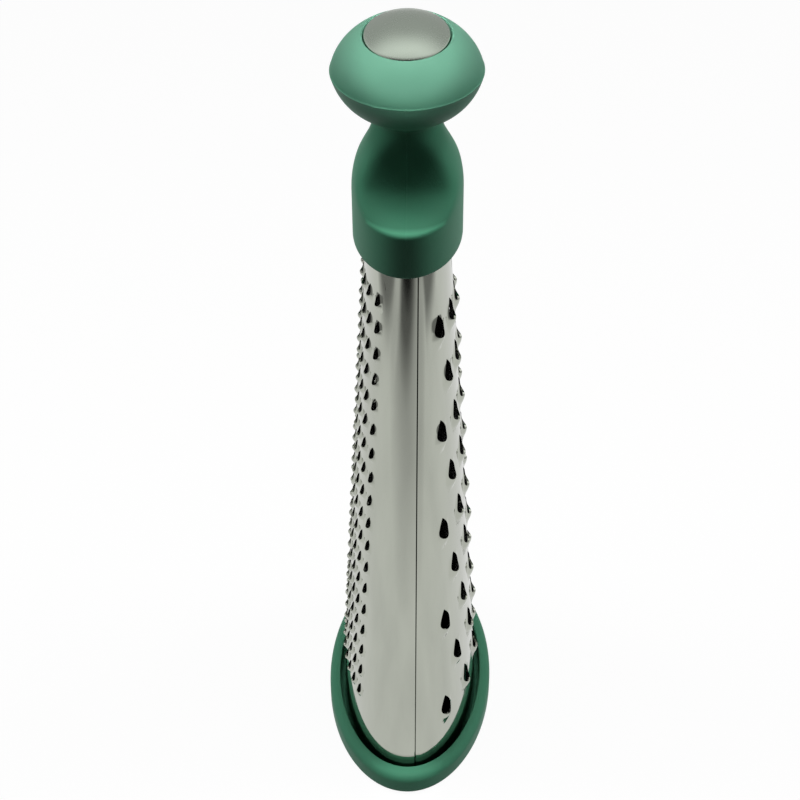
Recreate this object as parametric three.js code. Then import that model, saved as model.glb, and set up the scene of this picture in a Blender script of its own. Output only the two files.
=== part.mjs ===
// Oval box grater: a tapered steel tube, punched with fine teeth on one broad side and coarse
// scoops on the other, stands in a soft base ring and carries a soft-gripped knob handle.
// Millimetres, +Z up, origin at the middle of the base. The coarse side faces +X, the fine side
// faces -X, and the lap seam of the sheet faces -Y.
import * as THREE from "three";
import { mergeVertices } from "three/addons/utils/BufferGeometryUtils.js";

// Sheet: outer half sizes of its oval at the floor and at its top edge
const SHEET_BASE_X = 22.2;
const SHEET_BASE_Y = 43.7;
const SHEET_TOP_X = 11.0;
const SHEET_TOP_Y = 19.8;
const SHEET_TOP_Z = 197;
const SHEET_THICK = 0.6;

// Lap seam: the edge seen from outside, how far the other edge runs under it, and its step
const SEAM_X = 2.8;
const SEAM_LAP = 6;
const SEAM_GAP = 0.3;
const SEAM_STEP_WIDTH = 2;

// Punched fields: the plain band left above the middle of their highest rows
const FIELD_TOP_BAND = 23.5;

// Fine teeth on the -X side
const FINE_ROW_PITCH = 8.5;
const FINE_LOWEST_ROW_Z = 28.8;
const FINE_COLUMN_PITCH = 5.25;
const FINE_FIELD_ANGLE = 107;
const FINE_HOLE_WIDTH = 2.3;
const FINE_HOLE_HEIGHT = 3.6;
const FINE_LIP = 0.8;
const FINE_LOOP_POINTS = 6;

// Coarse scoops on the +X side: full rows with staggered rows between them
const COARSE_ROW_PITCH = 17.9;
const COARSE_LOWEST_ROW_Z = 23.1;
const COARSE_COLUMNS = 5;
const COARSE_FIELD_ANGLE = 124;
const COARSE_HOLE_WIDTH = 4.7;
const COARSE_HOLE_HEIGHT = 6.6;
const COARSE_LIP = 1.5;
const COARSE_LOOP_POINTS = 8;
const COARSE_FOOT_MARGIN = 0.9;
const COARSE_FOOT_DROP = 4.2;
const COARSE_LAND = 0.2;

// Base ring: a soft channel round the lower edge of the sheet
const RING_HEIGHT = 7.7;
const RING_REACH = 4.65;
const RING_GAP = 0.8;
const RING_INNER_WALL = 1.6;
const RING_INNER_HEIGHT = 6;
const RING_FLOOR = 2;
const RING_BEAD_ROUND = 2.4;
const RING_FOOT_ROUND = 1.6;
const RING_EDGE = 0.8;

// Handle grip: the skirt round the top of the sheet and the round ridge above it
const SKIRT_OVERLAP = 11.6;
const SKIRT_WALL_X = 3.24;
const SKIRT_WALL_Y = 1.89;
const SKIRT_EDGE = 0.8;
const RIDGE_RISE = 3.4;
const RIDGE_OVERHANG = 1.1;
const RIDGE_ROUND = 2.2;
const RIDGE_TURN = 66;

// The sloping shoulder, its crease and the neck
const CREASE_RISE = 4.6;
const CREASE_Y = 12.2;
const CREASE_SOFTNESS = 1;
const NECK_RISE = 16.5;
const NECK_RADIUS = 9.0;
const NECK_LENGTH = 0.7;
const SHOULDER_FACE_DROP = 11.7;
const SHOULDER_ROUND_DROP = 9.2;
const SHOULDER_ROUND_INSET = 4.3;

// The knob: a bowl up to its rim, and a dome from there to the lip round the disc
const BOWL_HEIGHT = 14.1;
const BOWL_DEPTH = 10;
const BOWL_FLARE = 0.4;
const BOWL_UNDERCUT = 1.8;
const BOWL_SIDE = 1.7;
const KNOB_RIM_X = 20.1;
const KNOB_RIM_Y = 20.9;
const DOME_HEIGHT = 10.6;
const DOME_SIDE = 0.7;
const DOME_SIDE_HEIGHT = 4;
const DOME_FULLNESS = 0.55;
const DOME_SETTLE = 1.8;
const GRIP_SKIN = 2.4;

// Hard core inside the grip, and the screw that draws it down onto the bar in the tube
const CORE_FLANGE = 3;
const CORE_TOP_DROP = 3;
const SCREW_RADIUS = 2.5;
const SCREW_HEAD_REACH = 1.9;
const SCREW_HEAD_HEIGHT = 2.8;
const SCREW_HEAD_ROUND = 1.2;
const SCREW_TAIL = 2.2;
const SCREW_POINT = 0.8;
const WASHER_REACH = 1;
const WASHER_THICK = 1;
const COUNTERBORE_GAP = 0.8;
const COUNTERBORE_COVER = 1.2;

// Cross bar: its ends sit in two windows of the sheet, under the skirt
const BAR_DROP = 8.4;
const BAR_WIDTH = 6.4;
const BAR_THICK = 2.4;
const WINDOW_MARGIN = 1.6;

// Domed steel disc set into the top of the knob
const DISC_X = 11.2;
const DISC_Y = 13.8;
const DISC_EDGE = 2.7;
const DISC_DOME = 2.2;
const DISC_THICK = 0.9;
const DISC_GAP = 0.4;

// Clearances and how finely round forms are divided
const SEAT_GAP = 0.3;
const SIDES = 24;
const RING_SIDES = 44;
const RING_ROUND_STEPS = 3;
const SCREW_SIDES = 16;
const BAND_CELLS = 10;
const SAME_SHARE = 1e-6;

const TURN = Math.PI * 2;
const rad = THREE.MathUtils.degToRad;
const lerp = THREE.MathUtils.lerp;

// Sheet surface

const sheetHalfX = (z) => lerp(SHEET_BASE_X, SHEET_TOP_X, z / SHEET_TOP_Z);
const sheetHalfY = (z) => lerp(SHEET_BASE_Y, SHEET_TOP_Y, z / SHEET_TOP_Z);

// Heights and sizes that follow from the ones above, from the floor up
const SHEET_BOTTOM_Z = RING_FLOOR + SEAT_GAP;
const SKIRT_Z = SHEET_TOP_Z - SKIRT_OVERLAP;
const BAR_Z = SHEET_TOP_Z - BAR_DROP;
const FLANGE_Z = SHEET_TOP_Z + SEAT_GAP;
const RIDGE_Z = SHEET_TOP_Z + RIDGE_RISE;
const CREASE_Z = RIDGE_Z + CREASE_RISE;
const NECK_Z = CREASE_Z + NECK_RISE;
const KNOB_RIM_Z = NECK_Z + BOWL_HEIGHT;
const LIP_Z = KNOB_RIM_Z + DOME_HEIGHT;
const CORE_TOP_Z = LIP_Z - CORE_TOP_DROP;
const SKIRT_X = sheetHalfX(SKIRT_Z) + SEAT_GAP + SKIRT_WALL_X;
const SKIRT_Y = sheetHalfY(SKIRT_Z) + SEAT_GAP + SKIRT_WALL_Y;
const RIDGE_Y = SKIRT_Y + RIDGE_OVERHANG;
const SCREW_HEAD_RADIUS = SCREW_RADIUS + SCREW_HEAD_REACH;
const WASHER_RADIUS = SCREW_HEAD_RADIUS + WASHER_REACH;
const COUNTERBORE_RADIUS = WASHER_RADIUS + COUNTERBORE_GAP;
const HEAD_STACK = WASHER_THICK + SCREW_HEAD_HEIGHT + 2 * SEAT_GAP;
const COUNTERBORE_Z = CORE_TOP_Z - COUNTERBORE_COVER - HEAD_STACK;
const HEAD_Z = COUNTERBORE_Z + WASHER_THICK + 2 * SEAT_GAP;
const BORE_RADIUS = SCREW_RADIUS + SEAT_GAP;
const PLUG_INSET = 2 * SHEET_THICK + SEAM_GAP + SEAT_GAP;
const PLUG_Z = BAR_Z + BAR_THICK + SEAT_GAP;

// The point of the tapered oval at an angle and height, moved out along its normal.
function sheetPoint(angle, z, lift) {
  const halfX = sheetHalfX(z);
  const halfY = sheetHalfY(z);
  const c = Math.cos(angle);
  const s = Math.sin(angle);
  const slopeX = (SHEET_TOP_X - SHEET_BASE_X) / SHEET_TOP_Z;
  const slopeY = (SHEET_TOP_Y - SHEET_BASE_Y) / SHEET_TOP_Z;
  const rise = -(c * c * slopeX) / halfX - (s * s * slopeY) / halfY;
  const normal = new THREE.Vector3(c / halfX, s / halfY, rise).normalize();
  return new THREE.Vector3(halfX * c, halfY * s, z).addScaledVector(normal, lift);
}

// A punched panel round one middle angle: places across it are shares of its width along the arc.
class Panel {
  constructor(middle, spread) {
    this.middle = middle;
    this.spread = spread;
    this.arcs = new Map();
  }

  // Arc lengths at even angles across the panel, at one height.
  arc(z) {
    if (!this.arcs.has(z)) {
      const steps = 48;
      const lengths = [0];
      for (let i = 1; i <= steps; i++) {
        const before = sheetPoint(this.angleAt((i - 1) / steps), z, 0);
        const here = sheetPoint(this.angleAt(i / steps), z, 0);
        lengths.push(lengths[i - 1] + here.distanceTo(before));
      }
      this.arcs.set(z, lengths);
    }
    return this.arcs.get(z);
  }

  angleAt(turnShare) {
    return this.middle + (turnShare - 0.5) * this.spread;
  }

  width(z) {
    return this.arc(z).at(-1);
  }

  // The angle at a share of the panel's arc length.
  angle(share, z) {
    const lengths = this.arc(z);
    const target = share * lengths.at(-1);
    let i = 1;
    while (i < lengths.length - 1 && lengths[i] < target) i++;
    const part = (target - lengths[i - 1]) / (lengths[i] - lengths[i - 1]);
    return this.angleAt((i - 1 + part) / (lengths.length - 1));
  }
}

// The middle surface of the sheet as triangles over (angle, height, lift).
class SheetSurface {
  constructor() {
    this.points = [];
    this.triangles = [];
    this.known = new Map();
  }

  vertex(angle, z, lift = 0) {
    const key = [angle, z, lift].map((n) => n.toFixed(6)).join(" ");
    if (!this.known.has(key)) {
      this.known.set(key, this.points.length);
      this.points.push({ angle, z, lift });
    }
    return this.known.get(key);
  }

  // Fills the strip between two chains that both run the same way, the first on the right of it.
  fillBetween(right, rightKeys, left, leftKeys) {
    let i = 0;
    let j = 0;
    while (i < right.length - 1 || j < left.length - 1) {
      const leftDone = j === left.length - 1;
      const rightDone = i === right.length - 1;
      if (leftDone || (!rightDone && rightKeys[i + 1] <= leftKeys[j + 1])) {
        this.triangles.push([right[i], right[i + 1], left[j]]);
        i++;
      } else {
        this.triangles.push([right[i], left[j + 1], left[j]]);
        j++;
      }
    }
  }

  // Fills the band between an outer and an inner loop, both sorted round one centre.
  fillRound(outer, inner) {
    const close = (loop) => [...loop, { ...loop[0], turn: loop[0].turn + TURN }];
    const [a, b] = [close(outer), close(inner)];
    const ids = (loop) => loop.map((p) => p.id);
    const turns = (loop) => loop.map((p) => p.turn);
    this.fillBetween(ids(a), turns(a), ids(b), turns(b));
  }

  // A closed solid of one wall thickness: outer skin, inner skin and a wall along every free edge.
  thicken(thickness) {
    const outer = this.points.map((p) => sheetPoint(p.angle, p.z, p.lift));
    const inner = this.points.map((p) => sheetPoint(p.angle, p.z, p.lift - thickness));
    const shift = outer.length;
    const index = [];
    const edgesOf = ([a, b, c]) => [`${a} ${b}`, `${b} ${c}`, `${c} ${a}`];
    const edges = new Set(this.triangles.flatMap(edgesOf));
    for (const [a, b, c] of this.triangles) {
      index.push(a, b, c);
      index.push(c + shift, b + shift, a + shift);
    }
    for (const edge of edges) {
      const [a, b] = edge.split(" ").map(Number);
      if (edges.has(`${b} ${a}`)) continue;
      index.push(b, a, a + shift);
      index.push(b, a + shift, b + shift);
    }
    return indexedGeometry([...outer, ...inner], index);
  }
}

function indexedGeometry(points, index) {
  const geometry = new THREE.BufferGeometry().setFromPoints(points);
  geometry.setIndex(index);
  geometry.computeVertexNormals();
  return geometry;
}

// Hole outlines, across and up from the middle of a cell, from the point at the top round to the left

// A teardrop with its point up, whose lower edge is lifted into a cutting lip.
function teardrop(width, height, lip, count) {
  const fullness = 0.77;
  const lipSharpness = 3;
  return Array.from({ length: count }, (_, k) => {
    const turn = (k * TURN) / count;
    const half = Math.sin(turn / 2);
    return {
      across: (-width / 2 / fullness) * Math.sin(turn) * half,
      up: (height / 2) * Math.cos(turn),
      lift: lip * half ** lipSharpness,
    };
  });
}

// The foot of a scoop: an oval round its hole that reaches further down than up, inside its cell.
function scoopFoot(cellWidth, cellHeight) {
  const halfWidth = Math.min(COARSE_HOLE_WIDTH / 2 + COARSE_FOOT_MARGIN, cellWidth / 2 - COARSE_LAND);
  const above = Math.min(COARSE_HOLE_HEIGHT / 2 + COARSE_FOOT_MARGIN, cellHeight / 2 - COARSE_LAND);
  const below = Math.min(above + COARSE_FOOT_DROP, cellHeight / 2 - COARSE_LAND);
  return Array.from({ length: COARSE_LOOP_POINTS }, (_, k) => {
    const turn = (k * TURN) / COARSE_LOOP_POINTS;
    const reach = lerp(above, below, (1 - Math.cos(turn)) / 2);
    return { across: -halfWidth * Math.sin(turn), up: reach * Math.cos(turn), lift: 0 };
  });
}

// An upright rectangle.
function windowOutline(width, height) {
  const corners = [[1, 1], [-1, 1], [-1, -1], [1, -1]];
  return corners.map(([x, y]) => ({ across: (x * width) / 2, up: (y * height) / 2, lift: 0 }));
}

// Rows of cells: each row has its height range, the shares where its cells meet, and their holes

const evenShares = (count) => Array.from({ length: count + 1 }, (_, i) => i / count);

const rowMiddles = (lowest, pitch) => {
  const count = Math.floor((SHEET_TOP_Z - FIELD_TOP_BAND - lowest) / pitch) + 1;
  return Array.from({ length: count }, (_, i) => lowest + i * pitch);
};

function fineRows(panel) {
  const outline = teardrop(FINE_HOLE_WIDTH, FINE_HOLE_HEIGHT, FINE_LIP, FINE_LOOP_POINTS);
  return rowMiddles(FINE_LOWEST_ROW_Z, FINE_ROW_PITCH).map((middle) => {
    const columns = Math.round(panel.width(middle) / FINE_COLUMN_PITCH);
    return {
      bottom: middle - FINE_ROW_PITCH / 2,
      top: middle + FINE_ROW_PITCH / 2,
      shares: evenShares(columns),
      holes: Array(columns).fill([outline]),
    };
  });
}

function coarseRows(panel) {
  const hole = teardrop(COARSE_HOLE_WIDTH, COARSE_HOLE_HEIGHT, COARSE_LIP, COARSE_LOOP_POINTS);
  const fullRow = evenShares(COARSE_COLUMNS);
  const between = fullRow.slice(1).map((share) => share - 0.5 / COARSE_COLUMNS);
  return rowMiddles(COARSE_LOWEST_ROW_Z, COARSE_ROW_PITCH).map((middle, i) => {
    const staggered = i % 2 === 1;
    const foot = scoopFoot(panel.width(middle) / COARSE_COLUMNS, COARSE_ROW_PITCH);
    const scoops = Array(staggered ? COARSE_COLUMNS - 1 : COARSE_COLUMNS).fill([foot, hole]);
    return {
      bottom: middle - COARSE_ROW_PITCH / 2,
      top: middle + COARSE_ROW_PITCH / 2,
      shares: staggered ? [0, ...between, 1] : fullRow,
      holes: staggered ? [null, ...scoops, null] : scoops,
    };
  });
}

// Adds the plain band below the punched rows, and the band above them with the window for the bar.
function withBands(panel, rows) {
  const below = evenShares(BAND_CELLS);
  const middle = BAR_Z + BAR_THICK / 2;
  const windowHalf = (BAR_WIDTH / 2 + SEAT_GAP + WINDOW_MARGIN) / panel.width(middle);
  const side = evenShares(3).map((share) => share * (0.5 - windowHalf));
  const window = [windowOutline(BAR_WIDTH + 2 * SEAT_GAP, BAR_THICK + 2 * SEAT_GAP)];
  return [
    { bottom: SHEET_BOTTOM_Z, top: rows[0].bottom, shares: below, holes: below.slice(1).fill(null) },
    ...rows,
    {
      bottom: rows.at(-1).top,
      top: SHEET_TOP_Z,
      shares: [...side, ...side.map((share) => 1 - share).reverse()],
      holes: [null, null, null, window, null, null, null],
      middle,
    },
  ];
}

// The shares of a row border that both rows beside it need.
function borderShares(lower, upper) {
  const all = [...(lower?.shares ?? []), ...(upper?.shares ?? [])].sort((a, b) => a - b);
  return all.filter((share, i) => i === 0 || share - all[i - 1] > SAME_SHARE);
}

// Fills one cell between its border chains, with its holes cut and lifted.
function fillCell(surface, panel, row, cell, lower, upper) {
  const [from, to] = [row.shares[cell], row.shares[cell + 1]];
  const within = (list) => list.filter((share) => share > from - SAME_SHARE && share < to + SAME_SHARE);
  const place = (share, z) => ({ id: surface.vertex(panel.angle(share, z), z), share, z });
  const bottom = within(lower).map((share) => place(share, row.bottom));
  const top = within(upper).map((share) => place(share, row.top));
  const ids = (chain) => chain.map((p) => p.id);
  const shares = (chain) => chain.map((p) => p.share);
  const loops = row.holes[cell];
  if (!loops) {
    surface.fillBetween(ids(bottom), shares(bottom), ids(top), shares(top));
    return;
  }
  const middleZ = row.middle ?? (row.bottom + row.top) / 2;
  const middleShare = (from + to) / 2;
  const width = panel.width(middleZ);
  const turnOf = (across, up) => (Math.atan2(-across, up) + TURN) % TURN;
  const border = [...bottom, ...top.reverse()].map((p) => ({
    id: p.id,
    turn: turnOf((p.share - middleShare) * width, p.z - middleZ),
  }));
  const placeLoop = (loop) => loop.map((p) => {
    const z = middleZ + p.up;
    const angle = panel.angle(middleShare + p.across / width, z);
    return { id: surface.vertex(angle, z, p.lift), turn: turnOf(p.across, p.up) };
  });
  const inside = loops.map(placeLoop);
  const chain = [border, ...inside].map((loop) => loop.sort((a, b) => a.turn - b.turn));
  chain.slice(1).forEach((loop, i) => surface.fillRound(chain[i], loop));
}

function fillPanel(surface, panel, rows) {
  rows.forEach((row, i) => {
    const lower = borderShares(rows[i - 1], row);
    const upper = borderShares(row, rows[i + 1]);
    row.holes.forEach((_, cell) => fillCell(surface, panel, row, cell, lower, upper));
  });
}

// A plain strip of upright facets between two lines, each a list of vertices from the floor up.
function fillStrip(surface, lines) {
  for (let i = 1; i < lines.length; i++) {
    const [left, right] = [lines[i - 1], lines[i]];
    const heights = (line) => line.map((id) => surface.points[id].z);
    surface.fillBetween(right, heights(right), left, heights(left));
  }
}

// The edge line of a panel, with a vertex at every row border.
function panelEdge(surface, panel, rows, share) {
  const heights = [...rows.map((row) => row.bottom), SHEET_TOP_Z];
  return heights.map((z) => surface.vertex(panel.angle(share, z), z));
}

// A straight line up the sheet.
function uprightLine(surface, angleAt, lift = 0) {
  return [SHEET_BOTTOM_Z, SHEET_TOP_Z].map((z) => surface.vertex(angleAt(z), z, lift));
}

function graterBody() {
  const surface = new SheetSurface();
  const fine = new Panel(Math.PI, rad(FINE_FIELD_ANGLE));
  const coarse = new Panel(0, rad(COARSE_FIELD_ANGLE));
  const fineStack = withBands(fine, fineRows(fine));
  const coarseStack = withBands(coarse, coarseRows(coarse));
  fillPanel(surface, fine, fineStack);
  fillPanel(surface, coarse, coarseStack);

  const stripSteps = 8;
  const front = -TURN / 4;
  const atX = (x, turns) => (z) => front + turns * TURN + Math.asin(x / sheetHalfX(z));
  const spreadLines = (from, to) => Array.from({ length: stripSteps - 1 }, (_, i) => (
    uprightLine(surface, (z) => lerp(from(z), to(z), (i + 1) / stripSteps))
  ));

  const rearFrom = (z) => coarse.angle(1, z);
  const rearTo = (z) => fine.angle(0, z);
  fillStrip(surface, [
    panelEdge(surface, coarse, coarseStack, 1),
    ...spreadLines(rearFrom, rearTo),
    panelEdge(surface, fine, fineStack, 0),
  ]);

  const outerEdge = atX(SEAM_X, 1);
  fillStrip(surface, [
    panelEdge(surface, fine, fineStack, 1),
    ...spreadLines((z) => fine.angle(1, z), outerEdge),
    uprightLine(surface, outerEdge),
  ]);

  const under = -(SHEET_THICK + SEAM_GAP);
  const stepFoot = atX(SEAM_X + SEAM_GAP, 0);
  const stepTop = atX(SEAM_X + SEAM_GAP + SEAM_STEP_WIDTH, 0);
  fillStrip(surface, [
    uprightLine(surface, atX(SEAM_X - SEAM_LAP, 0), under),
    uprightLine(surface, atX(SEAM_X - SEAM_LAP / 2, 0), under),
    uprightLine(surface, stepFoot, under),
    uprightLine(surface, stepTop),
    ...spreadLines(stepTop, (z) => coarse.angle(0, z)),
    panelEdge(surface, coarse, coarseStack, 0),
  ]);
  return surface.thicken(SHEET_THICK);
}

// Lofts

// Skins a stack of equal rings, each face split along its shorter diagonal. A closed stack joins its
// last ring to its first, and an open one ends in fans.
function loft(rings, closed) {
  const sides = rings[0].length;
  const points = rings.flat();
  const index = [];
  const at = (ring, side) => (ring % rings.length) * sides + (side % sides);
  const last = closed ? rings.length : rings.length - 1;
  for (let r = 0; r < last; r++) {
    for (let s = 0; s < sides; s++) {
      const [a, b, c, d] = [at(r, s), at(r, s + 1), at(r + 1, s + 1), at(r + 1, s)];
      const rising = points[a].distanceTo(points[c]) <= points[b].distanceTo(points[d]);
      index.push(...(rising ? [a, b, c, a, c, d] : [a, b, d, b, c, d]));
    }
  }
  if (!closed) {
    const total = (ring) => ring.reduce((sum, p) => sum.add(p), new THREE.Vector3());
    const centre = (ring) => total(ring).divideScalar(sides);
    const first = points.push(centre(rings[0])) - 1;
    const end = points.push(centre(rings.at(-1))) - 1;
    for (let s = 0; s < sides; s++) {
      index.push(first, at(0, s + 1), at(0, s));
      index.push(end, at(rings.length - 1, s), at(rings.length - 1, s + 1));
    }
  }
  return indexedGeometry(points, index);
}

const ovalDirections = (sides) => Array.from({ length: sides }, (_, i) => {
  const turn = (i * TURN) / sides;
  return Math.atan2(SKIRT_Y * Math.sin(turn), SKIRT_X * Math.cos(turn));
});
const DIRECTIONS = ovalDirections(SIDES);

// A ring of the handle: an oval whose two ends may be cut back by flat faces with soft corners.
function handleRing({ z, halfX, halfY, ovalY = halfY }, inset = 0) {
  const softness = 8;
  const [x, y, long] = [halfX - inset, halfY - inset, Math.max(ovalY, halfY) - inset];
  const cut = Math.max(y ** -softness - long ** -softness, 0);
  return DIRECTIONS.map((turn) => {
    const oval = (Math.cos(turn) / x) ** 2 + (Math.sin(turn) / long) ** 2;
    const flat = cut * Math.abs(Math.sin(turn)) ** softness;
    const radius = (oval ** (softness / 2) + flat) ** (-1 / softness);
    return new THREE.Vector3(radius * Math.cos(turn), radius * Math.sin(turn), z);
  });
}

const sheetRing = (z, lift) => DIRECTIONS.map((turn) => {
  const angle = Math.atan2(Math.sin(turn) / sheetHalfY(z), Math.cos(turn) / sheetHalfX(z));
  const point = sheetPoint(angle, z, lift);
  return new THREE.Vector3(point.x, point.y, z);
});

const roundRing = (radius, z) => DIRECTIONS.map((turn) => (
  new THREE.Vector3(radius * Math.cos(turn), radius * Math.sin(turn), z)
));

// Handle outline

const flatPoint = ([across, z]) => new THREE.Vector2(across, z);
const curve = (...points) => new THREE.CubicBezierCurve(...points.map(flatPoint));

// Half sizes up the skirt and round the ridge at its top.
function skirtStations() {
  const roundSteps = 3;
  const wall = [
    { z: SKIRT_Z, halfX: SKIRT_X - SKIRT_EDGE, halfY: SKIRT_Y - SKIRT_EDGE },
    { z: SKIRT_Z + SKIRT_EDGE, halfX: SKIRT_X, halfY: SKIRT_Y },
    { z: RIDGE_Z - RIDGE_ROUND, halfX: SKIRT_X, halfY: RIDGE_Y },
  ];
  for (let i = 1; i <= roundSteps; i++) {
    const turn = rad((RIDGE_TURN * i) / roundSteps);
    wall.push({
      z: RIDGE_Z - RIDGE_ROUND + RIDGE_ROUND * Math.sin(turn),
      halfX: SKIRT_X,
      halfY: RIDGE_Y - RIDGE_ROUND * (1 - Math.cos(turn)),
      ovalY: RIDGE_Y,
    });
  }
  return wall;
}

// From the ridge up the sloping shoulder and the hollow neck.
function shoulderStations(ridge) {
  const steps = 9;
  const side = curve(
    [ridge.halfY, ridge.z],
    [CREASE_Y, CREASE_Z],
    [NECK_RADIUS, CREASE_Z - CREASE_SOFTNESS],
    [NECK_RADIUS, NECK_Z],
  );
  const face = curve(
    [SKIRT_X, ridge.z],
    [SKIRT_X, NECK_Z - SHOULDER_FACE_DROP],
    [SKIRT_X - SHOULDER_ROUND_INSET, NECK_Z - SHOULDER_ROUND_DROP],
    [NECK_RADIUS, NECK_Z],
  );
  const faceLine = face.getPoints(60);
  const halfXAt = (z) => {
    const i = Math.max(1, faceLine.findIndex((p) => p.y >= z));
    const [a, b] = [faceLine[i - 1], faceLine[i]];
    return lerp(a.x, b.x, (z - a.y) / (b.y - a.y));
  };
  return Array.from({ length: steps }, (_, i) => {
    const p = side.getPoint((i + 1) / steps);
    const done = THREE.MathUtils.smoothstep(p.y, CREASE_Z, NECK_Z);
    return { z: p.y, halfX: halfXAt(p.y), halfY: p.x, ovalY: lerp(RIDGE_Y, p.x, done) };
  });
}

// From the neck out along the bowl under the knob, over its rim and in across its dome to the lip.
function knobStations() {
  const bowlSteps = 6;
  const domeSteps = 5;
  const floor = KNOB_RIM_Z - BOWL_DEPTH;
  const bowl = (rim) => curve(
    [NECK_RADIUS, NECK_Z + NECK_LENGTH],
    [NECK_RADIUS + BOWL_FLARE, floor - BOWL_UNDERCUT],
    [rim - BOWL_SIDE, floor],
    [rim, KNOB_RIM_Z],
  );
  const dome = (rim, lip) => curve(
    [rim, KNOB_RIM_Z],
    [rim - DOME_SIDE, KNOB_RIM_Z + DOME_SIDE_HEIGHT],
    [lerp(lip, rim, DOME_FULLNESS), LIP_Z - DOME_SETTLE],
    [lip, LIP_Z],
  );
  const pair = (x, y, t) => {
    const [px, py] = [x.getPoint(t), y.getPoint(t)];
    return { z: px.y, halfX: px.x, halfY: py.x };
  };
  const bowls = [bowl(KNOB_RIM_X), bowl(KNOB_RIM_Y)];
  const domes = [dome(KNOB_RIM_X, DISC_X + DISC_GAP), dome(KNOB_RIM_Y, DISC_Y + DISC_GAP)];
  const under = Array.from({ length: bowlSteps }, (_, i) => pair(...bowls, (i + 1) / bowlSteps));
  const over = Array.from({ length: domeSteps }, (_, i) => pair(...domes, (i + 1) / domeSteps));
  return [...under, ...over];
}

const skirt = skirtStations();
const shoulder = shoulderStations(skirt.at(-1));
const knob = knobStations();

// The stations that the core follows inside the skin, from the flange up to below the knob's top.
const coreStations = [
  { ...skirt.at(-1), z: FLANGE_Z, ovalY: RIDGE_Y },
  ...shoulder.filter((station, i) => i % 2 === 0 && station.z > FLANGE_Z + CORE_FLANGE),
  ...knob.filter((station, i) => i % 2 === 1 && station.z < CORE_TOP_Z - GRIP_SKIN),
];

// Half sizes of the knob's outside at the height of the core's top.
function knobAt(z) {
  const i = knob.findIndex((station) => station.z >= z && station.z > KNOB_RIM_Z);
  const [a, b] = [knob[i - 1], knob[i]];
  const part = (z - a.z) / (b.z - a.z);
  return { z, halfX: lerp(a.halfX, b.halfX, part), halfY: lerp(a.halfY, b.halfY, part) };
}
const coreTop = knobAt(CORE_TOP_Z);

function handleGrip() {
  const inner = [...coreStations, coreTop].reverse();
  const opening = { halfX: DISC_X + DISC_GAP, halfY: DISC_Y + DISC_GAP };
  return loft([
    ...[...skirt, ...shoulder, ...knob].map((station) => handleRing(station)),
    handleRing({ z: CORE_TOP_Z + SEAT_GAP, ...opening }),
    handleRing({ ...coreTop, z: CORE_TOP_Z + SEAT_GAP }, GRIP_SKIN),
    ...inner.slice(1).map((station) => handleRing(station, GRIP_SKIN)),
    handleRing({ ...coreStations[0], z: SHEET_TOP_Z }, GRIP_SKIN),
    sheetRing(SHEET_TOP_Z, SEAT_GAP),
    sheetRing(SKIRT_Z, SEAT_GAP),
  ], true);
}

function handleCore() {
  const inset = GRIP_SKIN + SEAT_GAP;
  return loft([
    roundRing(BORE_RADIUS, PLUG_Z),
    sheetRing(PLUG_Z, -PLUG_INSET),
    sheetRing(FLANGE_Z, -PLUG_INSET),
    ...coreStations.map((station) => handleRing(station, inset)),
    handleRing(coreTop, inset),
    roundRing(COUNTERBORE_RADIUS, CORE_TOP_Z),
    roundRing(COUNTERBORE_RADIUS, COUNTERBORE_Z),
    roundRing(BORE_RADIUS, COUNTERBORE_Z),
  ], true);
}

// The disc is a shallow pressed cup: its rim turns down to rest on the core.
function knobDisc() {
  const domeSteps = 4;
  const seat = CORE_TOP_Z + SEAT_GAP;
  const edge = seat + DISC_EDGE;
  const shares = Array.from({ length: domeSteps }, (_, i) => 1 - i / domeSteps);
  const dome = (inset, foot) => shares.map((share) => handleRing({
    z: foot + DISC_DOME * (1 - share * share),
    halfX: (DISC_X - inset) * share,
    halfY: (DISC_Y - inset) * share,
  }));
  const rim = (inset) => handleRing({ z: seat, halfX: DISC_X - inset, halfY: DISC_Y - inset });
  return loft([
    ...dome(DISC_THICK, edge - DISC_THICK).reverse(),
    rim(DISC_THICK),
    rim(0),
    ...dome(0, edge),
  ], false);
}

// Fastening

const lathe = (profile) => {
  const geometry = new THREE.LatheGeometry(profile.map(flatPoint), SCREW_SIDES);
  geometry.deleteAttribute("normal");
  geometry.deleteAttribute("uv");
  return mergeVertices(geometry).rotateX(Math.PI / 2);
};

// Pan-head screw from the knob's counterbore through the bar.
function handleScrew() {
  const tailZ = BAR_Z - SCREW_TAIL;
  return lathe([
    [0, tailZ],
    [SCREW_RADIUS - SCREW_POINT, tailZ],
    [SCREW_RADIUS, tailZ + SCREW_POINT],
    [SCREW_RADIUS, HEAD_Z],
    [SCREW_HEAD_RADIUS, HEAD_Z],
    [SCREW_HEAD_RADIUS, HEAD_Z + SCREW_HEAD_HEIGHT - SCREW_HEAD_ROUND],
    [SCREW_HEAD_RADIUS - SCREW_HEAD_ROUND, HEAD_Z + SCREW_HEAD_HEIGHT],
    [0, HEAD_Z + SCREW_HEAD_HEIGHT],
  ]);
}

function screwWasher() {
  const bottom = COUNTERBORE_Z + SEAT_GAP;
  return lathe([
    [BORE_RADIUS, bottom],
    [WASHER_RADIUS, bottom],
    [WASHER_RADIUS, bottom + WASHER_THICK],
    [BORE_RADIUS, bottom + WASHER_THICK],
    [BORE_RADIUS, bottom],
  ]);
}

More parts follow.
